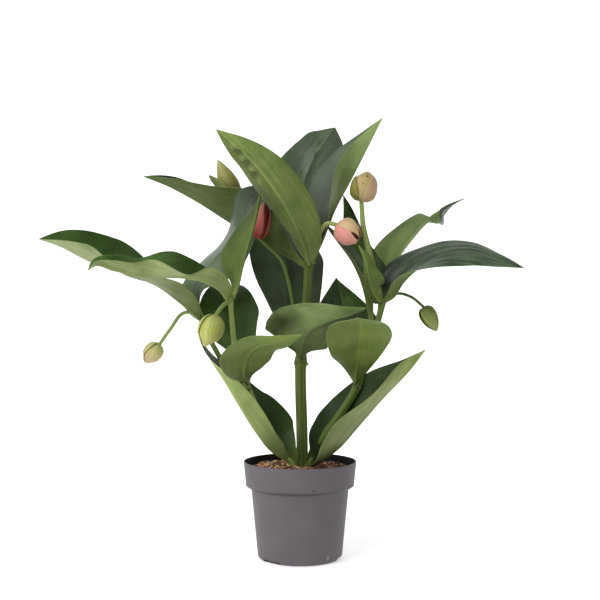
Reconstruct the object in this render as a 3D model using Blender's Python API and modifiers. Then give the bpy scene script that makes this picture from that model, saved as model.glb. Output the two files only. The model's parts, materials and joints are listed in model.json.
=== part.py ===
"""A potted rose grape: a nursery pot with soil, one branched stem, leaves and flower buds.

Metres, +Z up. The pot stands on the floor at the origin and the plant faces -Y.
Driving dimensions are in millimetres and become metres where a mesh is made.
"""

import math

import bmesh
import bpy
import numpy as np
from mathutils import Matrix, Vector

# Units
MM = 0.001
MERGE = 0.000002

# Pot: a 14 cm nursery pot
POT_RADIUS = 70.0
POT_HEIGHT = 120.0
POT_WALL = 1.6
LIP_DEPTH = 29.7
LIP_FOOT_RADIUS = 67.3
SHOULDER_DEPTH = 33.7
SHOULDER_RADIUS = 60.5
BASE_RADIUS = 52.6
BASE_ROUND = 5.0
INSIDE_ROUND = 4.0
FLOOR_THICKNESS = 2.0
LIP_EDGE = 0.6
LIP_STEP = 1.4
SHOULDER_STEP = 0.8
SLOT_COUNT = 3
SLOT_SIZE = (28.0, 14.0, 4.6)
SLOT_TURN = math.radians(-133)
POT_STEPS = 36

# Soil
SOIL_TOP = 112.0
SOIL_MOUND = 2.5
SOIL_EDGE = 1.5
SOIL_CLEARANCE = 0.5
SOIL_STEPS = 32

# Gap that two pieces that touch keep between them
SEAT_GAP = 0.35

# Leaves
BLADE_THICKNESS = 1.3
BLADE_LENGTH_CELLS = 12
BLADE_HALF_CELLS = 3
LEAF_FOOT = 3.5
LEAF_TIP = 1.2
FOLD_STATIONS = (0.0, 0.35, 0.7, 1.0)
WIDEST = 0.42
SHOULDER = 0.85
MARGIN_DROP = (1.8, 0.2)
BOW = 16.0
SECTION_STEPS = 8

# Directions that the fold angles of a leaf are measured from
AWAY = (0.0, 1.0, 0.0)
AWAY_AND_UP = (0.0, 0.7, 0.7)

# Colours of the surfaces, as linear values
POT_GREY = (0.155, 0.140, 0.160)
SOIL_BROWN = (0.180, 0.090, 0.045)
STEM_GREEN = (0.110, 0.160, 0.040)
LEAF_UNDER = (0.130, 0.210, 0.055)
BUD_LIME = (0.520, 0.560, 0.160)
BUD_OLIVE = (0.240, 0.270, 0.050)
BUD_OCHRE = (0.460, 0.330, 0.130)
BUD_PINK = (0.850, 0.330, 0.280)
BUD_RED = (0.250, 0.050, 0.040)

# How rough the surfaces are
POT_ROUGHNESS = 0.62
SOIL_ROUGHNESS = 0.95
STEM_ROUGHNESS = 0.5
LEAF_ROUGHNESS = 0.45
BUD_ROUGHNESS = 0.5

# Routes of the stems: points in the plant's frame, with radii spread evenly from foot to top
STEMS = {
    "main": {
        "points": [(3, 0, 48), (3, 0, 112), (2, 0, 171), (1, 0, 202), (1, 0, 244), (5, 0, 283),
                   (8, 0, 320), (10, 0, 351), (11, 0, 372)],
        "radii": (7.0, 6.8, 6.7, 6.5, 5.2, 4.9),
        "cells": 16,
    },
    "right_shoot": {
        "points": [(5, -2, 100), (27, -10, 147), (49, -14, 178), (71, -14, 214), (84, -8, 256),
                   (93, -3, 283), (100, 0, 305), (103, 0, 322)],
        "radii": (5.8, 3.6),
        "cells": 12,
    },
    "left_shoot": {
        "points": [(1, -2, 100), (-25, -12, 142), (-47, -16, 175), (-65, -16, 212), (-76, -14, 240),
                   (-81, -12, 267), (-84, -11, 295), (-86, -11, 322)],
        "radii": (5.0, 3.0),
        "cells": 12,
    },
    "far_left_shoot": {
        "points": [(-47, -16, 175), (-71, 0, 206), (-90, 6, 232), (-110, 6, 266), (-123, 5, 296)],
        "radii": (3.6, 3.0),
        "cells": 8,
    },
    "stalk_red": {
        "points": [(1, 0, 252), (-5, 4, 276), (-9, 4, 314), (-15, 2, 345), (-24, 0, 370),
                   (-40, 2, 386), (-52, 4, 397)],
        "radii": (2.4, 2.0),
        "cells": 8,
    },
    "stalk_pink": {
        "points": [(12, 1, 367), (16, 2, 384), (24, 1, 403), (34, -2, 415), (47, -4, 412.5)],
        "radii": (2.6, 2.8),
        "cells": 6,
    },
    "stalk_top_right": {
        "points": [(101, 0, 316), (95, 1, 345), (88, 0, 372), (84, -2, 388), (79, -3, 409),
                   (76, -4, 445)],
        "radii": (4.0, 4.4, 3.4, 2.7),
        "cells": 7,
    },
    "stalk_right": {
        "points": [(101, 1, 317), (113, 14, 325), (125, 18, 328), (139, 14, 324), (156, 8, 310)],
        "radii": (1.9, 1.8),
        "cells": 7,
    },
    "stalk_far_left": {
        "points": [(-121, 5, 293), (-132, 14, 303), (-144, 12, 304), (-162, 2, 283),
                   (-175, -3, 264)],
        "radii": (2.2, 2.2),
        "cells": 7,
    },
    "stalk_left": {
        "points": [(-86, -11, 320), (-95, -24, 312), (-103, -33, 300)],
        "radii": (2.8, 2.6),
        "cells": 4,
    },
    "stalk_top_left": {
        "points": [(11, 1, 370), (-13, 45, 416), (-50, 85, 450), (-82, 100, 458)],
        "radii": (2.6, 2.6),
        "cells": 6,
    },
}

# Leaves. The midrib runs through the points from foot to tip. Each half has its greatest width
# and its direction round the midrib at the fold stations, in degrees: 0 is to the right of the
# midrib as the viewer in front sees it from foot to tip, 90 is away from the viewer, 180 is left.
# A half may also have the share of the length where it is widest, how slowly it widens up to
# there, a roll of its margin at the stations and a wave of its margin (height, waves, phase).
# A twist turns both halves between two shares of the length.
LEAVES = {
    "leaf_top_front": {
        "midrib": [(11, -4, 363), (4, -20, 387), (-11, -40, 420), (-31, -57, 452), (-58, -72, 485),
                   (-98, -84, 519)],
        "right": (44, (12, 38, 24, 12)),
        "left": (36, (150, 126, 120, 143)),
        "widest_right": 0.4, "widest_left": 0.58, "shoulder_right": 0.8, "shoulder_left": 1.5,
    },
    "leaf_top_back": {
        "midrib": [(8.5, 4, 370), (4, 28, 402), (1, 62, 447), (8, 86, 484), (20, 98, 512),
                   (34, 104, 533), (47, 104, 551)],
        "right": (42, (4, 14, 54, 36)),
        "left": (58, (167, 191, 244, 214)),
        "widest_right": 0.91, "widest_left": 0.67, "shoulder_right": 1.4, "shoulder_left": 1.3,
    },
    "leaf_top_right": {
        "midrib": [(15.5, 1.5, 369), (29, 16, 397), (46, 22, 439), (64, 26, 472), (83, 26, 509),
                   (104, 22, 550)],
        "right": (40, (283, 256, 219, 205)),
        "left": (50, (162, 155, 157, 141)),
        "widest_right": 0.46, "widest_left": 0.5, "shoulder_right": 2.6, "shoulder_left": 1.8,
    },
    "leaf_top_left": {
        "midrib": [(6.0, 1, 363.0), (-20.0, 28, 378.0), (-55.2, 55, 398.4), (-95.2, 84, 424.3),
                   (-132.6, 94, 448.6), (-171.1, 98, 469.9), (-208.6, 98, 485.0)],
        "right": (56, (-29, -18, -53, -56)),
        "left": (46, (32, 65, 63, 25)),
        "widest_right": 0.42, "widest_left": 0.62, "shoulder_right": 1.5, "shoulder_left": 1.5,
    },
    "leaf_middle_back": {
        "midrib": [(0.0, 6, 249.0), (-4.0, 32, 282.0), (-10.1, 66, 320.0), (-17.2, 98, 362.5),
                   (-21.4, 122, 406.6), (-23.5, 136, 448.9)],
        "right": (50, (-4, -23, -7, -12)),
        "left": (55, (195, 212, 210, 191)),
        "widest_right": 0.6, "widest_left": 0.66, "shoulder_right": 0.9, "shoulder_left": 1.1,
    },
    "leaf_middle_front": {
        "midrib": [(1, -5, 248), (5, -24, 266), (12, -46, 281), (25, -68, 290), (42, -88, 297),
                   (60, -106, 303), (75, -118, 311)],
        "right": (28, (-31, -24, 14, 18)),
        "left": (63, (187, 161, 175, 179)),
        "widest_right": 0.3, "widest_left": 0.325, "shoulder_right": 1.9, "shoulder_left": 1.8,
        "roll_left": (150, 140, 20, 0),
        "roll_start": 0.7,
        "lean": AWAY_AND_UP,
    },
    "leaf_left_low_front": {
        "midrib": [(-64, -19.5, 218), (-66, -55, 233), (-62.2, -78, 251.8), (-47.5, -104, 265.5),
                   (-23.8, -126, 272.3), (2.0, -146, 281.3)],
        "right": (29, (34, 10, 14, -13)),
        "left": (34, (184, 197, 189, 188)),
        "widest_right": 0.41, "widest_left": 0.46, "shoulder_right": 1.6, "shoulder_left": 1.3,
        "lean": AWAY_AND_UP,
    },
    "leaf_left_low_back": {
        "midrib": [(-66.5, -11.5, 217), (-74, 8, 249), (-88, 30, 285), (-94, 48, 316),
                   (-96, 70, 333), (-95, 96, 337)],
        "right": (42, (-11, -13, -21, -15)),
        "left": (41, (192, 201, 207, 205)),
        "widest_right": 0.55, "widest_left": 0.56, "shoulder_right": 1.5, "shoulder_left": 2.6,
    },
    "leaf_right_low_front": {
        "midrib": [(68, -17, 218), (69, -46, 245), (69, -78, 269), (69, -108, 284), (67, -142, 294),
                   (64, -176, 299), (61, -206, 301)],
        "right": (37, (11, -2, -4, -17)),
        "left": (40, (142, 202, 178, 186)),
        "widest_right": 0.49, "widest_left": 0.54, "shoulder_right": 1.0, "shoulder_left": 0.9,
        "lean": AWAY_AND_UP,
    },
    "leaf_right_low_back": {
        "midrib": [(70, -13, 217), (69, -11, 238), (65, 4, 262), (59, 20, 290), (53, 28, 320),
                   (46, 30, 348)],
        "right": (41, (0, 11, 11, 48)),
        "left": (46, (189, 188, 182, 182)),
        "widest_right": 0.54, "widest_left": 0.6, "shoulder_right": 1.8, "shoulder_left": 1.8,
    },
    "leaf_far_left": {
        "midrib": [(-125, 4, 297), (-144, 10, 312), (-182, 20, 339), (-217, 26, 352),
                   (-269, 32, 370), (-308, 36, 389), (-334, 38, 398)],
        "right": (59, (-12, -88, -67, -79)),
        "left": (58, (87, 59, 43, 3)),
        "widest_right": 0.56, "widest_left": 0.62, "shoulder_right": 0.8, "shoulder_left": 2.1,
    },
    "leaf_far_left_inner": {
        "midrib": [(-122, 9, 295), (-128, 14, 312), (-130, 18, 332), (-118, 23, 355),
                   (-99, 26, 381), (-76, 27, 415), (-53, 27, 444), (-32, 25, 466)],
        "right": (35, (-85, -30, -6, -5)),
        "left": (46, (185, 117, 117, 230)),
        "widest_right": 0.42, "widest_left": 0.68, "shoulder_right": 1.7, "shoulder_left": 0.8,
    },
    "leaf_left_drooping": {
        "midrib": [(-89, -13, 320), (-98, -23, 332), (-118, -36, 343), (-144, -50, 347),
                   (-178, -62, 347), (-221, -72, 355), (-241, -76, 360), (-249, -77, 355)],
        "right": (31, (15, -69, -42, 17)),
        "left": (50, (57, 36, 63, 19)),
        "widest_right": 0.46, "widest_left": 0.6, "shoulder_right": 0.8, "shoulder_left": 1.4,
        "wave_right": (8, 2.7, 0.656),
    },
    "leaf_left_upright": {
        "midrib": [(-83.2, -12, 323), (-76, -22, 337), (-71, -30, 357), (-63, -40, 386),
                   (-55, -46, 414), (-47, -50, 452)],
        "right": (33, (86, 91, 87, 73)),
        "left": (35, (147, 147, 133, 97)),
        "widest_right": 0.43, "widest_left": 0.33, "shoulder_right": 1.3, "shoulder_left": 1.5,
    },
    "leaf_right_upper": {
        "midrib": [(105, 1, 321), (117, 20, 340), (123, 44, 368), (144, 54, 400), (166, 56, 425),
                   (188, 52, 440), (211, 44, 450)],
        "right": (29, (74, 81, 77, 52)),
        "left": (39, (147, 145, 126, 84)),
        "widest_right": 0.3, "widest_left": 0.39, "shoulder_right": 2.2, "shoulder_left": 2.2,
        "twist": (0.71, 0.83, -165),
    },
    "leaf_far_right": {
        "midrib": [(103, 1, 315), (115, -4, 322), (126, -10, 340), (145, -16, 359), (178, -22, 376),
                   (210, -26, 379), (244, -28, 370), (273, -28, 359)],
        "right": (34, (-161, -85, -37, -18)),
        "left": (39, (178, 123, 117, 122)),
        "widest_right": 0.39, "widest_left": 0.44, "shoulder_right": 1.1, "shoulder_left": 0.5,
    },
    "leaf_right_front": {
        "midrib": [(97, -4, 317), (89, -16, 331), (84, -22, 349), (81, -22, 369), (72, -18, 387)],
        "right": (19, (64, 11, 41, 34)),
        "left": (10, (186, 140, 131, 155)),
        "widest_right": 0.36, "widest_left": 0.3, "shoulder_right": 1.8, "shoulder_left": 0.8,
    },
    "leaf_right_inner": {
        "midrib": [(90, 1, 283), (86, 8, 307), (78, 12, 340), (65, 16, 369), (45, 22, 397),
                   (29, 26, 420)],
        "right": (15, (0, 0, 0, 0)),
        "left": (13, (-46, -66, -81, -68)),
        "widest_left": 0.3, "shoulder_right": 2.2, "shoulder_left": 2.2,
    },
    "leaf_right_upright": {
        "midrib": [(98, 4, 320), (99, 25, 341), (92, 40, 374), (78, 50, 413), (66, 54, 439),
                   (56, 54, 455)],
        "right": (29, (-16, -76, -95, -77)),
        "left": (27, (179, 179, 175, 176)),
        "widest_right": 0.3, "widest_left": 0.6, "shoulder_right": 2.4, "shoulder_left": 2.4,
    },
    "leaf_base_left": {
        "midrib": [(-2.0, -4, 116.0), (-17.0, -12, 121.0), (-35.0, -18, 134.0), (-53.1, -21, 157.6),
                   (-72.4, -21, 188.3), (-92.1, -12, 218.8), (-111.5, -7, 248.0),
                   (-125.7, -2, 275.4)],
        "right": (24, (-3, -17, -55, -125)),
        "left": (56, (-23, 39, 63, 91)),
        "widest_right": 0.51, "widest_left": 0.44, "shoulder_right": 0.9, "shoulder_left": 0.8,
    },
    "leaf_base_right": {
        "midrib": [(8, -4, 116), (22, -12, 119), (44, -20, 136), (75, -27, 171), (105, -30, 205),
                   (133, -29, 234), (153, -24, 259)],
        "right": (53, (204, 147, 154, 154)),
        "left": (56, (-94, -120, -120, -187)),
        "widest_right": 0.4, "widest_left": 0.3, "shoulder_right": 0.8, "shoulder_left": 1.1,
    },
}

# Flower buds: foot, direction from foot to tip, length and greatest radius, the shares of that
# radius at the girth marks, how much of the length the heart fills, and the bracts. A bract has
# its turn round the bud and half its spread in degrees, its share of the length and how far its
# tip stands off. Turn 0 faces the viewer.
BUDS = {
    "bud_top_left": {
        "foot": (-87, 100, 456), "way": (-0.45, 0.0, 1.0), "length": 58, "radius": 12.5, "colour": BUD_OCHRE,
        "girth": (0.3, 0.75, 1.0, 0.92, 0.66, 0.36, 0.03), "heart": 0.8,
        "bracts": [(200, 88, 1.0, 0), (20, 90, 1.0, 0), (-60, 52, 0.74, 13)],
    },
    "bud_left_front": {
        "foot": (-102, -34, 299), "way": (-0.36, -0.15, -0.92), "length": 40, "radius": 13.6, "colour": BUD_LIME,
        "girth": (0.2, 0.64, 0.97, 1.0, 0.82, 0.4, 0.03), "heart": 0.95,
        "bracts": [(40, 72, 1.0, 0), (220, 72, 1.0, 0), (-50, 80, 1.0, 0), (130, 80, 1.0, 0)],
    },
    "bud_far_left": {
        "foot": (-175, -3, 263), "way": (-0.64, -0.1, -0.75), "length": 29, "radius": 9.7, "colour": BUD_LIME,
        "girth": (0.2, 0.64, 0.97, 1.0, 0.84, 0.46, 0.05), "heart": 0.95,
        "bracts": [(20, 72, 1.0, 0), (200, 72, 1.0, 0), (-70, 80, 1.0, 0), (110, 80, 1.0, 0)],
    },
    "bud_pink": {
        "foot": (48.5, -4, 411), "way": (0.76, -0.33, -0.55), "length": 34, "radius": 14, "colour": BUD_PINK,
        "girth": (0.3, 0.7, 0.98, 1.0, 0.86, 0.6, 0.25), "heart": 0.86,
        "bracts": [(180, 75, 0.97, 0), (-105, 70, 0.97, 0), (62, 82, 1.0, 0), (-36, 40, 0.99, 0)],
    },
    "bud_top_right": {
        "foot": (76.5, -4, 444), "way": (0.2, -0.15, 1.0), "length": 37.5, "radius": 14.5, "colour": BUD_OCHRE,
        "girth": (0.35, 0.74, 0.98, 1.0, 0.9, 0.66, 0.12), "heart": 0.95,
        "bracts": [(0, 80, 1.0, 0), (180, 80, 1.0, 0), (75, 74, 1.0, 0), (-85, 62, 0.86, 0)],
    },
    "bud_right": {
        "foot": (156, 8, 309.5), "way": (0.47, -0.1, -0.88), "length": 34, "radius": 8.6, "colour": BUD_OLIVE,
        "girth": (0.3, 0.74, 1.0, 0.95, 0.74, 0.44, 0.05), "heart": 0.95,
        "bracts": [(70, 74, 1.0, 0), (250, 74, 1.0, 0), (-30, 80, 1.0, 0), (150, 80, 1.0, 0)],
    },
    "bud_red": {
        "foot": (-52, 4, 398), "way": (0.19, 0.0, 1.0), "length": 47, "radius": 10, "colour": BUD_RED,
        "girth": (0.3, 0.72, 1.0, 0.98, 0.78, 0.48, 0.05), "heart": 0.97,
        "bracts": [(170, 80, 1.0, 0), (-42, 66, 1.0, 0), (94, 50, 0.95, 1)],
    },
}
GIRTH_MARKS = (0.0, 0.1, 0.3, 0.5, 0.7, 0.85, 1.0)
BUD_SEAT = 2.0
BUD_STEPS = 9
HEART_GIRTH = 0.97
BRACT_CELLS = (4, 4)
BRACT_WALL = 2.6
BRACT_LAYER = (0.4, 0.64)
BRACT_FOOT = 0.02
BRACT_HEIGHT = 0.95
NARROWED_TIP = 0.94
BROAD_TIP = 0.5
LAYER_FADE = 0.6
GAPE_CURVE = 2.5
THINNEST = 0.4


# Scene helpers

def clear_scene():
    for thing in list(bpy.data.objects):
        bpy.data.objects.remove(thing, do_unlink=True)


def collection(name):
    made = bpy.data.collections.new(name)
    bpy.context.scene.collection.children.link(made)
    return made


def material(name, colour, roughness, metallic=0.0):
    made = bpy.data.materials.new(name)
    made.use_nodes = True
    shader = made.node_tree.nodes["Principled BSDF"]
    shader.inputs["Base Color"].default_value = (*colour, 1.0)
    shader.inputs["Roughness"].default_value = roughness
    shader.inputs["Metallic"].default_value = metallic
    made.diffuse_color = (*colour, 1.0)
    return made


def place(name, data, home):
    made = bpy.data.objects.new(name, data)
    home.objects.link(made)
    return made


def evaluated_mesh(thing):
    """The mesh of an object with its modifiers, or of a curve, as new data."""
    graph = bpy.context.evaluated_depsgraph_get()
    return bpy.data.meshes.new_from_object(thing.evaluated_get(graph))


def settle(thing):
    """Applies every modifier of a mesh object."""
    mesh = evaluated_mesh(thing)
    thing.modifiers.clear()
    thing.data = mesh
    return thing


def clean(mesh):
    form = bmesh.new()
    form.from_mesh(mesh)
    bmesh.ops.remove_doubles(form, verts=form.verts, dist=MERGE)
    bmesh.ops.dissolve_degenerate(form, edges=form.edges, dist=MERGE)
    bmesh.ops.recalc_face_normals(form, faces=form.faces)
    form.to_mesh(mesh)
    form.free()


def finish(thing, colour, roughness):
    """Smooth shading and the piece's own material."""
    thing.data.materials.clear()
    thing.data.materials.append(material(thing.name, colour, roughness))
    for face in thing.data.polygons:
        face.use_smooth = True
        face.material_index = 0


def drop(thing):
    bpy.data.objects.remove(thing, do_unlink=True)


def drop_scraps(mesh):
    """Keeps the largest body of a mesh; a body ends where an edge hasn't just two faces."""
    form = bmesh.new()
    form.from_mesh(mesh)
    left = set(form.faces)
    bodies = []
    while left:
        body = {left.pop()}
        front = list(body)
        while front:
            face = front.pop()
            edges = [edge for edge in face.edges if len(edge.link_faces) == 2]
            for other in [other for edge in edges for other in edge.link_faces]:
                if other in left:
                    left.remove(other)
                    body.add(other)
                    front.append(other)
        bodies.append(body)
    bodies.sort(key=len, reverse=True)
    scraps = [face for body in bodies[1:] for face in body]
    bmesh.ops.delete(form, geom=scraps, context="FACES")
    form.to_mesh(mesh)
    form.free()


def fuse(name, pieces, home):
    """Joins closed pieces that overlap into one solid."""
    first = pieces[0]
    group = bpy.data.collections.new(name + "_group")
    bpy.context.scene.collection.children.link(group)
    for piece in pieces[1:]:
        group.objects.link(piece)
    joint = first.modifiers.new("join", "BOOLEAN")
    joint.operation = "UNION"
    joint.operand_type = "COLLECTION"
    joint.collection = group
    joint.solver = "MANIFOLD"
    mesh = evaluated_mesh(first)
    for piece in pieces:
        drop(piece)
    bpy.data.collections.remove(group)
    clean(mesh)
    drop_scraps(mesh)
    return place(name, mesh, home)


def cut(thing, cutter):
    """Takes a cutter's room out of a piece and keeps the largest body."""
    hole = thing.modifiers.new("room", "BOOLEAN")
    hole.operation = "DIFFERENCE"
    hole.object = cutter
    hole.solver = "MANIFOLD"
    settle(thing)
    clean(thing.data)
    drop_scraps(thing.data)


# Curves in space

def blended(marks, values, places):
    """Values at places along a smooth curve through values given at marks."""
    marks = np.asarray(marks, float)
    values = np.asarray(values, float)
    slopes = np.gradient(values, marks, axis=0)
    found = []
    for place in places:
        k = min(len(marks) - 2, max(0, int(np.searchsorted(marks, place, side="right")) - 1))
        span = marks[k + 1] - marks[k]
        s = (place - marks[k]) / span
        start = (2 * s ** 3 - 3 * s ** 2 + 1) * values[k] + (s ** 3 - 2 * s ** 2 + s) * span * slopes[k]
        end = (3 * s ** 2 - 2 * s ** 3) * values[k + 1] + (s ** 3 - s ** 2) * span * slopes[k + 1]
        found.append(start + end)
    return np.array(found)


def along(points, count):
    """Places on a smooth line through points, spread by the points' distances."""
    knots = np.array(points, float)
    steps = np.linalg.norm(np.diff(knots, axis=0), axis=1)
    marks = np.concatenate([[0.0], np.cumsum(steps)])
    return blended(marks / marks[-1], knots, np.linspace(0.0, 1.0, count))


def unit(vectors):
    return vectors / np.linalg.norm(vectors, axis=-1, keepdims=True)


def eased(places):
    """A step from 0 to 1 that starts and ends softly."""
    held = np.clip(places, 0.0, 1.0)
    return held * held * (3 - 2 * held)


# Pot and soil

def turned(name, profile, steps, home):
    """A closed solid turned about Z from a profile of (radius, height) points."""
    mesh = bpy.data.meshes.new(name)
    corners = [(radius * MM, 0.0, height * MM) for radius, height in profile]
    edges = [(k, k + 1) for k in range(len(corners) - 1)]
    mesh.from_pydata(corners, edges, [])
    made = place(name, mesh, home)
    spin = made.modifiers.new("turn", "SCREW")
    spin.steps = steps
    spin.render_steps = steps
    spin.use_merge_vertices = True
    spin.merge_threshold = 0.00002
    spin.use_smooth_shade = True
    settle(made)
    clean(made.data)
    return made


def wall_radius(height):
    """Outer radius of the pot's tapered body at a height."""
    rise = (height - BASE_ROUND) / (POT_HEIGHT - SHOULDER_DEPTH - BASE_ROUND)
    return BASE_RADIUS + (SHOULDER_RADIUS - BASE_RADIUS) * max(0.0, rise)


def build_pot(home, guides):
    shoulder = POT_HEIGHT - SHOULDER_DEPTH
    lip_foot = POT_HEIGHT - LIP_DEPTH
    corner = [
        (
            BASE_RADIUS - BASE_ROUND + BASE_ROUND * math.sin(turn),
            BASE_ROUND - BASE_ROUND * math.cos(turn),
        )
        for turn in (0.0, math.radians(30), math.radians(60), math.radians(90))
    ]
    inside_foot = wall_radius(FLOOR_THICKNESS + INSIDE_ROUND) - POT_WALL - INSIDE_ROUND
    profile = [
        (inside_foot + INSIDE_ROUND, FLOOR_THICKNESS + INSIDE_ROUND),
        (SHOULDER_RADIUS - POT_WALL, shoulder + SHOULDER_STEP),
        (LIP_FOOT_RADIUS - POT_WALL, lip_foot + LIP_STEP),
        (POT_RADIUS - POT_WALL - LIP_EDGE, POT_HEIGHT - LIP_EDGE),
        (POT_RADIUS - POT_WALL, POT_HEIGHT),
        (POT_RADIUS - LIP_EDGE, POT_HEIGHT),
        (POT_RADIUS, POT_HEIGHT - LIP_EDGE),
        (LIP_FOOT_RADIUS, lip_foot + LIP_EDGE),
        (LIP_FOOT_RADIUS - LIP_EDGE, lip_foot),
        (SHOULDER_RADIUS, shoulder),
    ]
    profile = [(0.0, FLOOR_THICKNESS), (inside_foot, FLOOR_THICKNESS)] + profile
    profile += list(reversed(corner)) + [(0.0, 0.0)]
    pot = turned("pot", profile, POT_STEPS, home)
    slots = []
    for k in range(SLOT_COUNT):
        turn = SLOT_TURN + k * math.tau / SLOT_COUNT
        bpy.ops.mesh.primitive_cube_add(size=1.0)
        slot = bpy.context.object
        slot.dimensions = [size * MM for size in SLOT_SIZE]
        slot.location = (
            math.cos(turn) * BASE_RADIUS * MM,
            math.sin(turn) * BASE_RADIUS * MM,
            (SLOT_SIZE[2] / 2 - 0.4) * MM,
        )
        slot.rotation_euler.z = turn + math.pi / 2
        slot.name = f"slot_{k}"
        slots.append(slot)
    bpy.context.view_layer.update()
    group = bpy.data.collections.new("slots")
    guides.children.link(group)
    for slot in slots:
        group.objects.link(slot)
    trim = pot.modifiers.new("slots", "BOOLEAN")
    trim.operation = "DIFFERENCE"
    trim.operand_type = "COLLECTION"
    trim.collection = group
    trim.solver = "EXACT"
    settle(pot)
    for slot in slots:
        drop(slot)
    finish(pot, POT_GREY, POT_ROUGHNESS)
    return pot


def build_soil(home, stem_room):
    shoulder = POT_HEIGHT - SHOULDER_DEPTH
    lip_foot = POT_HEIGHT - LIP_DEPTH
    inset = POT_WALL + SOIL_CLEARANCE
    low = FLOOR_THICKNESS + SOIL_CLEARANCE
    foot = wall_radius(FLOOR_THICKNESS + INSIDE_ROUND) - inset - INSIDE_ROUND
    lip_rise = (SOIL_TOP - lip_foot) / LIP_DEPTH
    top_radius = LIP_FOOT_RADIUS + (POT_RADIUS - LIP_FOOT_RADIUS) * lip_rise - inset - SOIL_CLEARANCE
    profile = [
        (0.0, low),
        (foot - SOIL_CLEARANCE, low),
        (foot + INSIDE_ROUND - SOIL_CLEARANCE, low + INSIDE_ROUND + 1),
        (SHOULDER_RADIUS - inset, shoulder + SHOULDER_STEP + SOIL_CLEARANCE),
        (LIP_FOOT_RADIUS - inset, lip_foot + LIP_STEP + SOIL_CLEARANCE),
        (top_radius, SOIL_TOP - SOIL_EDGE),
        (top_radius * 0.8, SOIL_TOP),
        (top_radius * 0.4, SOIL_TOP + SOIL_MOUND),
        (0.0, SOIL_TOP + SOIL_MOUND),
    ]
    soil = turned("soil", profile, SOIL_STEPS, home)
    cut(soil, stem_room)
    finish(soil, SOIL_BROWN, SOIL_ROUGHNESS)
    return soil


# Stems

def tube(name, route, extra, home):
    """A round stem along its route, thicker by extra, as a closed mesh."""
    points = along(route["points"], route["cells"] + 1)
    points[0] -= unit(points[1] - points[0]) * extra
    points[-1] += unit(points[-1] - points[-2]) * extra
    radii = np.interp(
        np.linspace(0.0, 1.0, len(points)), np.linspace(0.0, 1.0, len(route["radii"])), route["radii"]
    )
    data = bpy.data.curves.new(name, "CURVE")
    data.dimensions = "3D"
    data.bevel_depth = MM
    data.bevel_resolution = 2
    data.use_fill_caps = True
    spline = data.splines.new("POLY")
    spline.points.add(len(points) - 1)
    for k, point in enumerate(points):
        spline.points[k].co = (*(point * MM), 1.0)
        spline.points[k].radius = radii[k] + extra
    guide = place(name + "_line", data, home)
    mesh = evaluated_mesh(guide)
    drop(guide)
    clean(mesh)
    return place(name, mesh, home)


def build_stems(name, extra, home):
    return fuse(name, [tube(key, route, extra, home) for key, route in STEMS.items()], home)


# Leaves

def half_width(share, widest, greatest, shoulder):
    """Distance from midrib to margin at a share of the leaf's length."""
    if share < widest:
        rise = math.sin(math.pi / 2 * (share / widest) ** shoulder)
        return LEAF_FOOT + (greatest - LEAF_FOOT) * rise
    rest = (share - widest) / (1 - widest)
    power, fall = MARGIN_DROP
    return max(LEAF_TIP, greatest * (1 - rest ** power) * (1 - fall * rest))


def half_section(reach, chord, bow, roll, wave, cells):
    """Points across one half of a blade, from the midrib out, in the plane across the midrib."""
    steps = cells * SECTION_STEPS
    v = (np.arange(steps) + 0.5) / steps
    amount, start = roll
    turn = chord + bow * (v - 0.5) + amount * np.clip((v - start) / (1 - start), 0, 1)
    line = np.cumsum(np.stack([np.cos(turn), np.sin(turn)], 1), 0) * reach / steps
    line += wave * (v ** 2)[:, None] * np.stack([-np.sin(turn), np.cos(turn)], 1)
    return line[SECTION_STEPS - 1::SECTION_STEPS]


def half_rows(leaf, side, sign, shares, twist, cells):
    """Rows of points across one half of a blade, in the planes across the midrib."""
    greatest, angles = leaf[side]
    chords = blended(FOLD_STATIONS, np.radians(angles), shares) + twist
    rolls = blended(FOLD_STATIONS, np.radians(leaf.get("roll_" + side, (0, 0, 0, 0))), shares)
    height, waves, phase = leaf.get("wave_" + side, (0.0, 1.0, 0.0))
    widest = leaf.get("widest_" + side, WIDEST)
    shoulder = leaf.get("shoulder_" + side, SHOULDER)
    rows = []
    for k, share in enumerate(shares):
        reach = half_width(share, widest, greatest, shoulder)
        wave = height * math.sin(math.tau * (waves * share + phase)) * math.sin(math.pi * share)
        roll = (rolls[k], leaf.get("roll_start", 0.5))
        rows.append(half_section(reach, chords[k], sign * math.radians(BOW), roll, wave, cells))
    return rows


def blade_points(leaf, length_cells, half_cells):
    """Rows of points across the blade, from foot to tip, in millimetres."""
    spine = along(leaf["midrib"], length_cells + 1)
    ahead = unit(np.gradient(spine, axis=0))
    rightward = unit(np.cross(np.array(leaf.get("lean", AWAY)), ahead))
    onward = np.cross(ahead, rightward)
    shares = np.linspace(0.0, 1.0, length_cells + 1)
    first, last, turned_by = leaf.get("twist", (0.0, 1.0, 0.0))
    twist = math.radians(turned_by) * eased((shares - first) / (last - first))
    left = half_rows(leaf, "left", -1, shares, twist, half_cells)
    right = half_rows(leaf, "right", 1, shares, twist, half_cells)
    rows = []
    for k, centre in enumerate(spine):
        halves = [
            centre + flat[:, :1] * rightward[k] + flat[:, 1:] * onward[k]
            for flat in (left[k], right[k])
        ]
        rows.append(np.concatenate([halves[0][::-1], centre[None], halves[1]]))
    return np.array(rows)


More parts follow.
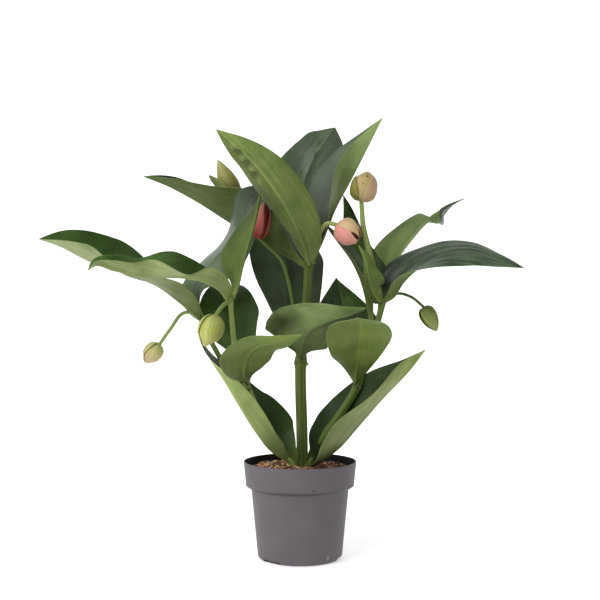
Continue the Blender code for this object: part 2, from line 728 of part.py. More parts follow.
def build_leaf(name, leaf, stem_room, home):
    rows = blade_points(leaf, BLADE_LENGTH_CELLS, BLADE_HALF_CELLS)
    form = bmesh.new()
    bmesh.ops.create_grid(
        form, x_segments=2 * BLADE_HALF_CELLS, y_segments=BLADE_LENGTH_CELLS, size=0.5
    )
    for corner in form.verts:
        column = round((corner.co.x + 0.5) * 2 * BLADE_HALF_CELLS)
        row = round((corner.co.y + 0.5) * BLADE_LENGTH_CELLS)
        corner.co = Vector(rows[row][column] * MM)
    bmesh.ops.triangulate(form, faces=form.faces)
    mesh = bpy.data.meshes.new(name)
    form.to_mesh(mesh)
    form.free()
    made = place(name, mesh, home)
    shell = made.modifiers.new("blade", "SOLIDIFY")
    shell.thickness = BLADE_THICKNESS * MM
    shell.offset = 0.0
    settle(made)
    cut(made, stem_room)
    finish(made, LEAF_UNDER, LEAF_ROUGHNESS)
    return made


# Flower buds

def bract_points(bud, layer, bract):
    """Outer face of a bract standing along +Z from its foot, in rows; turn 0 faces +X."""
    turn, spread, reach, gape = bract
    across_cells, length_cells = BRACT_CELLS
    narrowing = NARROWED_TIP if gape or reach < 1 else BROAD_TIP
    shares = np.linspace(0.0, 1.0, length_cells + 1)
    heights = BRACT_FOOT + BRACT_HEIGHT * reach * shares
    radii = bud["radius"] * blended(GIRTH_MARKS, bud["girth"], heights)
    rows = []
    for share, height, radius in zip(shares, heights, radii):
        half = math.radians(spread) * (1 - narrowing * share ** 3)
        lift = radius + layer * (1 - LAYER_FADE * height ** 4) + gape * share ** GAPE_CURVE
        angles = math.radians(turn) + half * np.linspace(-1.0, 1.0, across_cells + 1)
        tall = height * bud["length"]
        rows.append([(lift * math.cos(angle), lift * math.sin(angle), tall) for angle in angles])
    return rows


def bract_body(name, bud, layer, bract, home):
    """One overlapping bract of a bud as a closed body, thinner where the bud is slim."""
    rows = bract_points(bud, layer, bract)
    across_cells, length_cells = BRACT_CELLS
    form = bmesh.new()
    bmesh.ops.create_grid(form, x_segments=across_cells, y_segments=length_cells, size=0.5)
    for corner in form.verts:
        column = round((corner.co.x + 0.5) * across_cells)
        row = round((corner.co.y + 0.5) * length_cells)
        corner.co = Vector(rows[row][column]) * MM
    bmesh.ops.triangulate(form, faces=form.faces)
    inner = bmesh.ops.extrude_face_region(form, geom=form.faces[:])["geom"]
    for corner in inner:
        if isinstance(corner, bmesh.types.BMVert):
            away = math.hypot(corner.co.x, corner.co.y)
            left = max(THINNEST, 1 - BRACT_WALL * MM / away)
            corner.co.x *= left
            corner.co.y *= left
    mesh = bpy.data.meshes.new(name)
    form.to_mesh(mesh)
    form.free()
    clean(mesh)
    return place(name, mesh, home)


def build_bud(name, bud, stem_room, home):
    heart = [
        (HEART_GIRTH * bud["radius"] * girth, bud["heart"] * bud["length"] * mark)
        for mark, girth in zip(GIRTH_MARKS, bud["girth"])
    ]
    ends = ([(0.0, 0.0)], [(0.0, bud["heart"] * bud["length"])])
    pieces = [turned(name + "_heart", ends[0] + heart + ends[1], BUD_STEPS, home)]
    first, step = BRACT_LAYER
    for number, bract in enumerate(bud["bracts"]):
        pieces.append(bract_body(f"{name}_bract_{number}", bud, first + step * number, bract, home))
    made = fuse(name, pieces, home)
    way = unit(np.array(bud["way"], float))
    front = unit(np.array((0.0, -1.0, 0.0)) + way * way[1])
    turn = Matrix(np.stack([front, np.cross(way, front), way], 1).tolist()).to_4x4()
    made.data.transform(turn)
    made.data.transform(Matrix.Translation((Vector(bud["foot"]) - Vector(way) * BUD_SEAT) * MM))
    cut(made, stem_room)
    finish(made, bud["colour"], BUD_ROUGHNESS)
    return made


def main():
    clear_scene()
    parts = collection("potted_rose_grape")
    guides = collection("guides")
    stems = build_stems("stems", 0.0, parts)
    finish(stems, STEM_GREEN, STEM_ROUGHNESS)
    stem_room = build_stems("stem_room", SEAT_GAP, guides)
    build_pot(parts, guides)
    build_soil(parts, stem_room)
    for name, leaf in LEAVES.items():
        build_leaf(name, leaf, stem_room, parts)
    for name, bud in BUDS.items():
        build_bud(name, bud, stem_room, parts)
    drop(stem_room)
    for piece in parts.objects:
        mesh = piece.data
        mesh.calc_loop_triangles()
        print(piece.name, len(mesh.loop_triangles), "triangles")


main()
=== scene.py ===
# %% [markdown]
# A rose grape in its nursery pot.
# The plant is a young one: a square green stem with three side shoots, leathery leaves in pairs
# that are dark and waxy above and pale below, and seven flower buds that hang or stand on
# stalks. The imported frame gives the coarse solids; this lesson makes a fine mesh for each one,
# in the same place, and a procedural finish for each surface.

# %% Load the frame
import json
import math
import random

import bmesh
import bpy
import numpy as np
from mathutils import Matrix, Vector, noise

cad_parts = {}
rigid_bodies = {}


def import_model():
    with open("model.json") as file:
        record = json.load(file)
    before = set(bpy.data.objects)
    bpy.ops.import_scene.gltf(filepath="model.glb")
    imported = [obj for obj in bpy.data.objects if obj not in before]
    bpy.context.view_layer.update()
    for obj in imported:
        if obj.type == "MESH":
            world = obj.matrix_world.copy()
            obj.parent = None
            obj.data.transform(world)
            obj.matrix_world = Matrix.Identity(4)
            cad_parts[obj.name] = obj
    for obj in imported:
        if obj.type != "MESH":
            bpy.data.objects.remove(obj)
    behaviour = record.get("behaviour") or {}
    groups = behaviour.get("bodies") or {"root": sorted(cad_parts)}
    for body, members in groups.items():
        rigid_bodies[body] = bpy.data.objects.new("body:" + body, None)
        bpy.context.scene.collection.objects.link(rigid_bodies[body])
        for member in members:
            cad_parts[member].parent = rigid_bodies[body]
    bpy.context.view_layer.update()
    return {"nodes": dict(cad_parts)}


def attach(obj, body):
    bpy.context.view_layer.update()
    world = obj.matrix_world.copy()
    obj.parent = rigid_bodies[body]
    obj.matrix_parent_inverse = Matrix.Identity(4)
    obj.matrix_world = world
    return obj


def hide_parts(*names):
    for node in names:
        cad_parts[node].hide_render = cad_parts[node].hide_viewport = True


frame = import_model()
MM = 0.001
WELD = 0.001 * MM
print("nodes in the frame:", len(frame["nodes"]))

# %% [markdown]
# Colours are sRGB hex codes, which is how a paint chart or a screen gives them. They were chosen
# first, and then scaled after the photo and a render were compared spot by spot.
# A shader works with linear light, so one function turns a code into linear numbers.
# A second small function adds any shader node: its settings by name, its inputs as numbers, hex
# codes or other nodes, the stops of a colour ramp, and the two ranges of a node that maps one
# range of numbers to another.


# %% Colours and shader nodes
RANGES = ("From Min", "From Max", "To Min", "To Max")
SMOOTH = {"interpolation_type": "SMOOTHSTEP"}


def linear(code):
    """An sRGB hex colour as linear numbers with full alpha."""
    parts = [int(code[k:k + 2], 16) / 255 for k in (1, 3, 5)]
    lit = [p / 12.92 if p <= 0.04045 else ((p + 0.055) / 1.055) ** 2.4 for p in parts]
    return (*lit, 1.0)


def wire(made, inputs):
    """Sets a node's inputs to numbers, hex codes or outputs; a node stands for its first output."""
    for socket, value in inputs.items():
        if isinstance(value, bpy.types.Node):
            value = value.outputs[0]
        if isinstance(value, bpy.types.NodeSocket):
            made.id_data.links.new(value, made.inputs[socket])
        else:
            made.inputs[socket].default_value = linear(value) if isinstance(value, str) else value


def add(tree, kind, inputs=None, stops=(), span=(), **settings):
    """Adds a shader node with its settings, inputs, colour stops and ranges."""
    made = tree.nodes.new("ShaderNode" + kind)
    for name, value in settings.items():
        setattr(made, name, value)
    wire(made, {**(inputs or {}), **dict(zip(RANGES, span))})
    for k, (place, code) in enumerate(stops):
        ramp = made.color_ramp.elements
        stop = ramp[k] if k < 2 else ramp.new(place)
        stop.position = place
        stop.color = linear(code)
    return made


def new_material(name, **constants):
    """A material with its Principled shader; constants are values set on the shader itself."""
    made = bpy.data.materials.new(name)
    made.use_nodes = True
    shader = made.node_tree.nodes["Principled BSDF"]
    wire(shader, {socket.replace("_", " "): value for socket, value in constants.items()})
    return made, made.node_tree, shader


def mottled(name, scale, detail, stops, relief=None, coarse=0.5, **constants):
    """A material with one noise in its colour and, by relief's strength and depth, in its surface."""
    made, tree, shader = new_material(name, **constants)
    cloud = add(tree, "TexNoise", {
        "Vector": add(tree, "TexCoord").outputs["Object"],
        "Scale": scale, "Detail": detail, "Roughness": coarse,
    })
    wire(shader, {"Base Color": add(tree, "ValToRGB", {"Fac": cloud}, stops)})
    if relief:
        bump = add(tree, "Bump", {"Height": cloud, "Strength": relief[0], "Distance": relief[1]})
        wire(shader, {"Normal": bump})
    return made


print("peat brown in linear light:", [round(v, 3) for v in linear("#3A2A22")[:3]])

# %% [markdown]
# The picture was taken level, from about a metre and a third in front of the pot, with a short
# telephoto lens, in soft light on white. A white sweep that curves up behind the plant gives the
# floor and the background in one, as in a product studio, and lets light through from behind.
# One large soft panel stands above on the left, and the white room is brighter on the left and in
# front than on the right, so that every form turns a little darker towards the right.

# %% Camera
CAMERA_DISTANCE = 1.354
CAMERA_HEIGHT = 0.3198
FOCAL_PIXELS = 1088
FRAME_PIXELS = 600
SENSOR = 36.0


def put(name, data):
    """Puts a mesh, a lamp or a camera in the scene as an object."""
    made = bpy.data.objects.new(name, data)
    bpy.context.scene.collection.objects.link(made)
    return made


lens = bpy.data.cameras.new("camera")
lens.sensor_width = SENSOR
lens.lens = SENSOR * FOCAL_PIXELS / FRAME_PIXELS
lens.clip_start = 0.05
camera = put("camera", lens)
camera.location = (0.0, -CAMERA_DISTANCE, CAMERA_HEIGHT)
camera.rotation_euler = (math.pi / 2, 0.0, 0.0)
bpy.context.scene.camera = camera
bpy.context.scene.view_settings.view_transform = "Standard"
print("focal length in mm:", round(lens.lens, 1))


# %% Mesh from rows of points
def mesh_from_rows(name, rows, wrap=False, materials=()):
    """A mesh object whose faces join neighbouring points of rows, all the way round if wrapped."""
    count, width = rows.shape[:2]
    row = np.arange(count - 1)[:, None] * width
    column = np.arange(width if wrap else width - 1)[None, :]
    after = (column + 1) % width
    faces = np.stack([row + column, row + after, row + width + after, row + width + column], -1)
    mesh = bpy.data.meshes.new(name)
    mesh.from_pydata((rows.reshape(-1, 3) * MM).tolist(), [], faces.reshape(-1, 4).tolist())
    mesh.shade_smooth()
    for finish in materials:
        mesh.materials.append(finish)
    return put(name, mesh)


def note(mesh, name, values):
    """Stores a number or a vector for each point, for a material to read."""
    values = np.asarray(values, np.float32)
    kind = "FLOAT_VECTOR" if values.ndim > 1 else "FLOAT"
    layer = mesh.attributes.new(name, kind, "POINT")
    layer.data.foreach_set("vector" if values.ndim > 1 else "value", values.ravel())


def mend(mesh, weld=0.0, width=0):
    """Welds points nearer than weld, or closes a tube's end rings of width points; faces turn out."""
    form = bmesh.new()
    form.from_mesh(mesh)
    if weld:
        bmesh.ops.remove_doubles(form, verts=form.verts, dist=weld)
    if width:
        form.verts.ensure_lookup_table()
        form.faces.new([form.verts[k] for k in range(width)][::-1])
        form.faces.new([form.verts[len(form.verts) - width + k] for k in range(width)])
    bmesh.ops.recalc_face_normals(form, faces=form.faces)
    form.to_mesh(mesh)
    form.free()


# %% Studio floor and lights
SWEEP_WIDTH = 6000.0
SWEEP_FRONT = -2500.0
SWEEP_BACK = 1600.0
SWEEP_BEND = 900.0
SWEEP_TOP = 3200.0
SWEEP_LEVEL = -0.2
FLOOR_GLOW = 0.5
WALL_GLOW = 0.66

paper, tree, shader = new_material("white_paper_sweep", Roughness=0.9)
flecks = add(tree, "TexNoise", {"Scale": 6.0})
paper_tone = add(tree, "ValToRGB", {"Fac": flecks}, [(0.3, "#F6F6F6"), (0.7, "#FAFAFA")])
# The sheet lets light through from behind, more where it rises at the back.
spot = add(tree, "SeparateXYZ", {"Vector": add(tree, "TexCoord").outputs["Object"]})
glow = add(tree, "MapRange", {"Value": spot.outputs["Y"]}, span=(0.2, 1.6, FLOOR_GLOW, WALL_GLOW))
wire(shader, {"Base Color": paper_tone, "Emission Color": "#FFFFFF", "Emission Strength": glow})

line = [(SWEEP_FRONT, SWEEP_LEVEL), (0.0, SWEEP_LEVEL)]
line += [
    (SWEEP_BACK + SWEEP_BEND * math.sin(a), SWEEP_LEVEL + SWEEP_BEND * (1 - math.cos(a)))
    for a in np.linspace(0.0, math.pi / 2, 24)
]
line += [(SWEEP_BACK + SWEEP_BEND, SWEEP_TOP)]
sweep_rows = np.array([[(x, y, z) for x in (-SWEEP_WIDTH / 2, SWEEP_WIDTH / 2)] for y, z in line])
floor = mesh_from_rows("studio_sweep", sweep_rows, materials=[paper])


def panel(name, place, aim, size, power):
    """A soft square lamp at a place, turned to a point, both in metres."""
    lamp = bpy.data.lights.new(name, "AREA")
    lamp.shape = "SQUARE"
    lamp.size = size
    lamp.energy = power
    made = put(name, lamp)
    made.location = place
    made.rotation_euler = (Vector(aim) - Vector(place)).to_track_quat("-Z", "Y").to_euler()


panel("key_panel", (-1.4, -1.5, 1.7), (0.0, 0.0, 0.3), 1.6, 29.0)
# The room is brighter on the viewer's left and in front of the plant.
world = bpy.data.worlds.new("white_room")
world.use_nodes = True
room = world.node_tree
facing = add(room, "VectorMath", {
    0: add(room, "TexCoord").outputs["Generated"], 1: (-0.62, -0.72, 0.3),
}, operation="DOT_PRODUCT").outputs["Value"]
brightness = add(room, "MapRange", {"Value": facing}, span=(-1.0, 1.0, 0.04, 0.63))
wire(room.nodes["Background"], {"Strength": brightness, "Color": "#FFFFFF"})
bpy.context.scene.world = world
print("studio stands on", len(sweep_rows), "bends of paper")

# %% [markdown]
# The pot is a thin polypropylene moulding: a tapered body, a step, and a deep straight lip that
# pots stack by. It is a profile turned about the vertical axis, with the small roundings that a
# mould leaves at each corner, and shallow slots cut in the foot for drainage. Recycled
# polypropylene from a matt mould has a dry, even, slightly mottled grey surface.

# %% Pot dimensions in millimetres
POT_RADIUS = 70.0
POT_HEIGHT = 120.0
POT_WALL = 1.6
LIP_DEPTH = 29.7
LIP_FOOT_RADIUS = 67.3
SHOULDER_DEPTH = 33.7
SHOULDER_RADIUS = 60.5
BASE_RADIUS = 52.6
BASE_ROUND = 5.0
FLOOR_THICKNESS = 2.0
SLOT_COUNT = 3
SLOT_SIZE = (28.0, 14.0, 4.6)
SLOT_TURN = math.radians(-133)
SLOT_ROUND = 0.8
SLOT_SINK = 0.4
BASE_HOLLOW = 0.8
BASE_RING_RADIUS = 19.0
POT_STEPS = 180
lip_foot = POT_HEIGHT - LIP_DEPTH
shoulder = POT_HEIGHT - SHOULDER_DEPTH
print("lip band from", round(lip_foot, 1), "to", POT_HEIGHT, "mm")


# %% Turned shapes
def corner_arc(centre, radius, first, last, count):
    """Points of (radius, height) on an arc in the profile plane, between two angles in degrees."""
    turns = np.radians(np.linspace(first, last, count))
    return [(centre[0] + radius * math.cos(t), centre[1] + radius * math.sin(t)) for t in turns]


def turned(name, profile, steps, materials=()):
    """A closed mesh turned about Z from a profile of (radius, height) points."""
    turns = np.arange(steps) * math.tau / steps
    rows = np.array([[(r * math.cos(t), r * math.sin(t), z) for t in turns] for r, z in profile])
    made = mesh_from_rows(name, rows, True, materials)
    mend(made.data, weld=WELD)
    return made


# %% Moulded polypropylene
CORNER_HEIGHT = 0.0885
# A speck of soot in the lip and a pale scuff near the base: place and radius in metres, colour.
MARKS = (
    ((0.0162, -0.0655, 0.0935), 0.0022, "#2E2A30"),
    ((0.034, -0.0415, 0.008), 0.0034, "#8C868C"),
)
plastic, tree, shader = new_material(
    "matt_grey_polypropylene", Roughness=0.52, IOR=1.49, Specular_IOR_Level=0.42
)
coords = add(tree, "TexCoord").outputs["Object"]
# Recycled granulate leaves cloudy tones some 30 mm across in the wall.
clouds = add(tree, "TexNoise", {"Vector": coords, "Scale": 32.0, "Detail": 3.0})
clouded = add(tree, "ValToRGB", {"Fac": clouds}, [(0.25, "#5A555A"), (0.75, "#635C62")])
# Dust and water marks gather in vertical runs about 4 mm wide.
run_map = add(tree, "Mapping", {"Vector": coords, "Scale": (1.0, 1.0, 0.12)})
runs = add(tree, "TexNoise", {"Vector": run_map, "Scale": 240.0, "Detail": 4.0})
run_mask = add(tree, "ValToRGB", {"Fac": runs}, [(0.52, "#000000"), (0.78, "#3A3A3A")])
dusty = add(tree, "MixRGB", {"Fac": run_mask, "Color1": clouded, "Color2": "#726D72"})
# The corner under the lip is painted darker: painted shade.
spot = add(tree, "SeparateXYZ", {"Vector": coords})
gap = add(tree, "Math", {0: spot.outputs["Z"], 1: CORNER_HEIGHT}, operation="SUBTRACT")
away = add(tree, "Math", {0: gap}, operation="ABSOLUTE")
under_lip_shade = add(tree, "MapRange", {"Value": away}, span=(0.0006, 0.0034, 0.6, 0.0), **SMOOTH)
marked_and_shaded = add(tree, "MixRGB", {"Fac": under_lip_shade, "Color1": dusty, "Color2": "#2A282B"})
for place, radius, colour in MARKS:
    away = add(tree, "VectorMath", {0: coords, 1: place}, operation="DISTANCE").outputs["Value"]
    mark = add(tree, "MapRange", {"Value": away}, span=(radius * 0.3, radius, 0.8, 0.0), **SMOOTH)
    marked_and_shaded = add(tree, "MixRGB", {"Fac": mark, "Color1": marked_and_shaded, "Color2": colour})
dull = add(tree, "MapRange", {"Value": runs}, span=(0.0, 1.0, 0.46, 0.62))
# The spark eroded mould leaves a grain of about 0.6 mm.
grain = add(tree, "TexNoise", {"Vector": coords, "Scale": 1600.0, "Detail": 2.0})
relief = add(tree, "Bump", {"Height": grain, "Strength": 0.22, "Distance": 0.0002})
wire(shader, {"Base Color": marked_and_shaded, "Roughness": dull, "Normal": relief})

# Inside, the same wall is painted nearly black: partly painted shade, partly peat stain.
inner_wall_shade = mottled(
    "shaded_and_peat_stained_inner_wall", 140.0, 4.0, [(0.35, "#151416"), (0.6, "#1F1C1D"), (0.8, "#3B2C24")],
    (0.3, 0.0003), Roughness=0.7, Specular_IOR_Level=0.25,
)
print("materials:", plastic.name, inner_wall_shade.name)


# %% Turn the pot and cut its slots
def wall_radius(height):
    """Outer radius of the tapered body at a height."""
    rise = (height - BASE_ROUND) / (shoulder - BASE_ROUND)
    return BASE_RADIUS + (SHOULDER_RADIUS - BASE_RADIUS) * max(0.0, rise)


inner_foot = wall_radius(FLOOR_THICKNESS + 4) - POT_WALL - 4
outside = [(0.0, BASE_HOLLOW), (BASE_RING_RADIUS - 1, BASE_HOLLOW), (BASE_RING_RADIUS, 0.0)]
outside += corner_arc((BASE_RADIUS - BASE_ROUND, BASE_ROUND), BASE_ROUND, -90, 0, 9)
outside += [(wall_radius(h), h) for h in np.linspace(12, shoulder - 4, 12)]
outside += corner_arc((SHOULDER_RADIUS + 1.4, shoulder - 1.2), 1.6, 180, 100, 6)
outside += corner_arc((LIP_FOOT_RADIUS - 1.8, lip_foot + 1.0), 2.0, -62, -4, 6)
outside += [
    (LIP_FOOT_RADIUS + (POT_RADIUS - LIP_FOOT_RADIUS) * s, lip_foot + 2 + (LIP_DEPTH - 3.2) * s)
    for s in np.linspace(0.05, 1, 10)
]
outside += corner_arc((POT_RADIUS - POT_WALL / 2, POT_HEIGHT - POT_WALL / 2), POT_WALL / 2, 0, 180, 9)
inside = [(POT_RADIUS - POT_WALL - 0.4, POT_HEIGHT - 4), (LIP_FOOT_RADIUS - POT_WALL, lip_foot + 1.4)]
inside += [(SHOULDER_RADIUS - POT_WALL, shoulder + 0.8), (inner_foot + 4, FLOOR_THICKNESS + 4)]
inside += [(inner_foot, FLOOR_THICKNESS), (0.0, FLOOR_THICKNESS)]
pot = turned("pot_moulding", outside + inside, POT_STEPS, [plastic, inner_wall_shade])
# Inner faces above the shoulder take the painted shade of the inner wall.
for face in pot.data.polygons:
    inward = face.normal.x * face.center.x + face.normal.y * face.center.y < 0
    face.material_index = int(inward and face.center.z > SHOULDER_DEPTH * MM)

cutters = bpy.data.collections.new("slot_cutters")
for k in range(SLOT_COUNT):
    turn = SLOT_TURN + k * math.tau / SLOT_COUNT
    form = bmesh.new()
    bmesh.ops.create_cube(form, size=1.0)
    bmesh.ops.scale(form, verts=form.verts, vec=[size * MM for size in SLOT_SIZE])
    upright = [e for e in form.edges if abs(e.verts[0].co.z - e.verts[1].co.z) < MM]
    bmesh.ops.bevel(form, geom=upright, offset=SLOT_ROUND * MM, segments=3, affect="EDGES")
    place = Vector((math.cos(turn), math.sin(turn), 0)) * BASE_RADIUS * MM
    place.z = (SLOT_SIZE[2] / 2 - SLOT_SINK) * MM
    move = Matrix.Translation(place) @ Matrix.Rotation(turn + math.pi / 2, 4, "Z")
    bmesh.ops.transform(form, verts=form.verts, matrix=move)
    mesh = bpy.data.meshes.new("slot")
    form.to_mesh(mesh)
    form.free()
    cutters.objects.link(bpy.data.objects.new("slot", mesh))
cut = pot.modifiers.new("slots", "BOOLEAN")
cut.operation = "DIFFERENCE"
cut.operand_type = "COLLECTION"
cut.collection = cutters
bpy.context.scene.collection.children.link(cutters)
graph = bpy.context.evaluated_depsgraph_get()
mesh = bpy.data.meshes.new_from_object(pot.evaluated_get(graph))
pot.modifiers.clear()
pot.data = mesh
for cutter in list(cutters.objects):
    bpy.data.objects.remove(cutter, do_unlink=True)
bpy.data.collections.remove(cutters)
pot.data.shade_smooth()
pot.data.set_sharp_from_angle(angle=math.radians(38))
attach(pot, "root")
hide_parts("pot")
print("pot faces:", len(pot.data.polygons))

# %% [markdown]
# The soil is peat mixed with bark and coir. Peat gives a soft dark bed, so it is a turned disc
# whose top is pushed about by noise. The bark and coir chips catch the light in orange brown,
# so they are modelled: about a thousand flat flakes and some curled fibres, scattered at random
# from a fixed seed and sunk a little into the bed.

# %% Peat, bark and coir
SOIL_TOP = 112.0
SOIL_MOUND = 2.5
SOIL_RADIUS = 66.2
SOIL_STEPS = 120


def ground(x, y):
    """Height of the peat's surface at a place, in millimetres."""
    away = math.hypot(x, y)
    rise = SOIL_MOUND * max(0.0, 1 - (away / (0.8 * SOIL_RADIUS)) ** 2)
    lumps = 2.0 * noise.noise(Vector((x, y, 3.0)) / 9.0)
    lumps += 0.9 * noise.noise(Vector((x, y, 9.0)) / 3.2)
    edge = max(0.0, away - 0.86 * SOIL_RADIUS) * 0.25
    return SOIL_TOP - 0.6 + rise + lumps - edge


peat = mottled(
    "damp_peat", 420.0, 6.0, [(0.3, "#1E1612"), (0.5, "#3E2C21"), (0.64, "#75503A"), (0.8, "#A67856")],
    (0.9, 0.0012), 0.7, Roughness=0.92, Specular_IOR_Level=0.2,
)
bark, tree, shader = new_material("bark_and_coir_chips", Roughness=0.85, Specular_IOR_Level=0.25)
tone = add(tree, "Attribute", attribute_name="tone").outputs["Fac"]
chip_colour = add(tree, "ValToRGB", {"Fac": tone}, [
    (0.0, "#35241A"), (0.35, "#7E553D"), (0.7, "#C48C64"), (1.0, "#F0D2AE"),
])
coords = add(tree, "TexCoord").outputs["Object"]
fibre = add(tree, "TexNoise", {"Vector": coords, "Scale": 900.0, "Detail": 3.0})
shade = add(tree, "MapRange", {"Value": fibre}, span=(0.0, 1.0, 0.65, 1.25))
shaded = add(
    tree, "MixRGB", {"Fac": 1.0, "Color1": chip_colour, "Color2": shade}, blend_type="MULTIPLY"
)
relief = add(tree, "Bump", {"Height": fibre, "Strength": 0.5, "Distance": 0.0003})
wire(shader, {"Base Color": shaded, "Normal": relief})

turns = np.arange(SOIL_STEPS) * math.tau / SOIL_STEPS
rows = [[(0.0, 0.0, ground(0, 0))] * SOIL_STEPS]
for radius in np.linspace(0.0, SOIL_RADIUS, 46)[1:]:
    ring = [(radius * math.cos(t), radius * math.sin(t)) for t in turns]
    rows.append([(x, y, ground(x, y)) for x, y in ring])
# Below its top the bed keeps a little clear of the pot's wall, down to the pot's floor.
for radius, height in (
    (LIP_FOOT_RADIUS - POT_WALL - 0.6, lip_foot + 2.2),
    (SHOULDER_RADIUS - POT_WALL - 0.6, shoulder + 1.4),
    (inner_foot + 3.2, FLOOR_THICKNESS + 5.5),
    (inner_foot - 1, FLOOR_THICKNESS + 0.5),
    (0.0, FLOOR_THICKNESS + 0.5),
):
    rows.append([(radius * math.cos(t), radius * math.sin(t), height) for t in turns])
bed = mesh_from_rows("peat_bed", np.array(rows), True, [peat])
mend(bed.data, weld=WELD)
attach(bed, "root")
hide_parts("soil")
print("peat bed points:", len(bed.data.vertices))


# %% Chips and fibres on the peat
CHIP_COUNT = 950
FIBRE_COUNT = 70
CHIP_SIZES = (1.2, 1.8, 2.4, 3.2, 4.6)
FIBRE_STEPS = 9
FIBRE_STEP = 1.5
draw = random.Random(4)


def scatter_place():
    """A random place on the peat, clear of the stem."""
    while True:
        away = SOIL_RADIUS * 0.965 * math.sqrt(draw.random())
        turn = draw.uniform(0, math.tau)
        x = away * math.cos(turn)
        y = away * math.sin(turn)
        if math.hypot(x - 3, y) > 9:
            return x, y


form = bmesh.new()
tones = []
# A chip is a flake, a little over half as wide as long and a quarter as thick, with uneven corners.
for k in range(CHIP_COUNT):
    x, y = scatter_place()
    size = draw.choice(CHIP_SIZES)
    made = bmesh.ops.create_icosphere(form, subdivisions=1, radius=1.0)
    stretch = (size, size * draw.uniform(0.4, 0.8), size * draw.uniform(0.16, 0.34))
    tilt = Matrix.Rotation(draw.uniform(0, math.tau), 4, "Z")
    tilt = tilt @ Matrix.Rotation(draw.gauss(0, 0.45), 4, "X")
    for corner in made["verts"]:
        rough = Vector([v * s * draw.uniform(0.8, 1.15) for v, s in zip(corner.co, stretch)])
        corner.co = (tilt @ rough + Vector((x, y, ground(x, y) + size * 0.1))) * MM
    tones += [min(1.0, max(0.0, draw.gauss(0.5, 0.32)))] * len(made["verts"])
# A fibre is a three sided thread that wanders over the bed and ends before the pot's wall.
for k in range(FIBRE_COUNT):
    x, y = (0.8 * part for part in scatter_place())
    way = draw.uniform(0, math.tau)
    bend = draw.gauss(0, 0.22)
    thick = draw.uniform(0.22, 0.4)
    rings = []
    for step in range(FIBRE_STEPS):
        rings.append([form.verts.new((
            (x + thick * math.cos(a) * math.sin(way)) * MM,
            (y - thick * math.cos(a) * math.cos(way)) * MM,
            (ground(x, y) + 0.9 + thick * math.sin(a) + 0.5 * math.sin(step)) * MM,
        )) for a in (0.0, math.tau / 3, 2 * math.tau / 3)])
        x += FIBRE_STEP * math.cos(way)
        y += FIBRE_STEP * math.sin(way)
        if math.hypot(x, y) > 0.96 * SOIL_RADIUS:
            break
        way += bend
    for low, high in zip(rings, rings[1:]):
        for a in range(3):
            form.faces.new((low[a], low[(a + 1) % 3], high[(a + 1) % 3], high[a]))
    form.faces.new(rings[0][::-1])
    form.faces.new(rings[-1])
    tones += [draw.uniform(0.5, 0.95)] * (3 * len(rings))
mesh = bpy.data.meshes.new("bark_chips")
form.to_mesh(mesh)
form.free()
note(mesh, "tone", tones)
mesh.materials.append(bark)
chips = put("bark_chips", mesh)
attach(chips, "root")
print("chips and fibres:", CHIP_COUNT + FIBRE_COUNT)

# %% [markdown]
# Everything that grew follows a line: a stem its route, a leaf its midrib. A smooth line through
# a few points needs a slope at each point, taken here from its neighbours, and a cubic between
# them. The same cubic also blends the fold angles along a leaf, so that no crease shows where
# one measured angle gives way to the next.


# %% Smooth lines and blends
def blended(marks, values, places):
    """Values at places along a smooth curve through values given at marks."""
    marks = np.asarray(marks, float)
    values = np.asarray(values, float)
    slopes = np.gradient(values, marks, axis=0)
    found = []
    for place in places:
        k = min(len(marks) - 2, max(0, int(np.searchsorted(marks, place, side="right")) - 1))
        span = marks[k + 1] - marks[k]
        s = (place - marks[k]) / span
        start = (2 * s ** 3 - 3 * s ** 2 + 1) * values[k]
        start = start + (s ** 3 - 2 * s ** 2 + s) * span * slopes[k]
        end = (3 * s ** 2 - 2 * s ** 3) * values[k + 1]
        end = end + (s ** 3 - s ** 2) * span * slopes[k + 1]
        found.append(start + end)
    return np.array(found)


def along(points, count):
    """Places on a smooth line through points, spread by the points' distances."""
    knots = np.array(points, float)
    marks = np.concatenate([[0.0], np.cumsum(np.linalg.norm(np.diff(knots, axis=0), axis=1))])
    return blended(marks / marks[-1], knots, np.linspace(0.0, 1.0, count))


def unit(vectors):
    return vectors / np.linalg.norm(vectors, axis=-1, keepdims=True)


AWAY = (0.0, 1.0, 0.0)
AWAY_AND_UP = (0.0, 0.7, 0.7)


def frames(spine, lean=AWAY):
    """Unit vectors along a line, to its right as seen from the front, and away from the viewer."""
    ahead = unit(np.gradient(spine, axis=0))
    rightward = unit(np.cross(np.array(lean), ahead))
    return ahead, rightward, np.cross(ahead, rightward)


print("a blend halfway:", round(float(blended((0, 1, 2), (0, 5, 0), (0.5,))[0]), 2))

# %% [markdown]
# The main stem of a rose grape is square, with a shallow groove down each face and corky brown
# corners, and it thickens at each node, where a pair of leaves leaves a ring shaped scar. The
# shoots are the same on a smaller scale, and the flower stalks are round, smooth and paler.
# Each is a ring of points swept along its route, closed at the ends, and all of them are
# gathered in one mesh, because they grew as one piece.

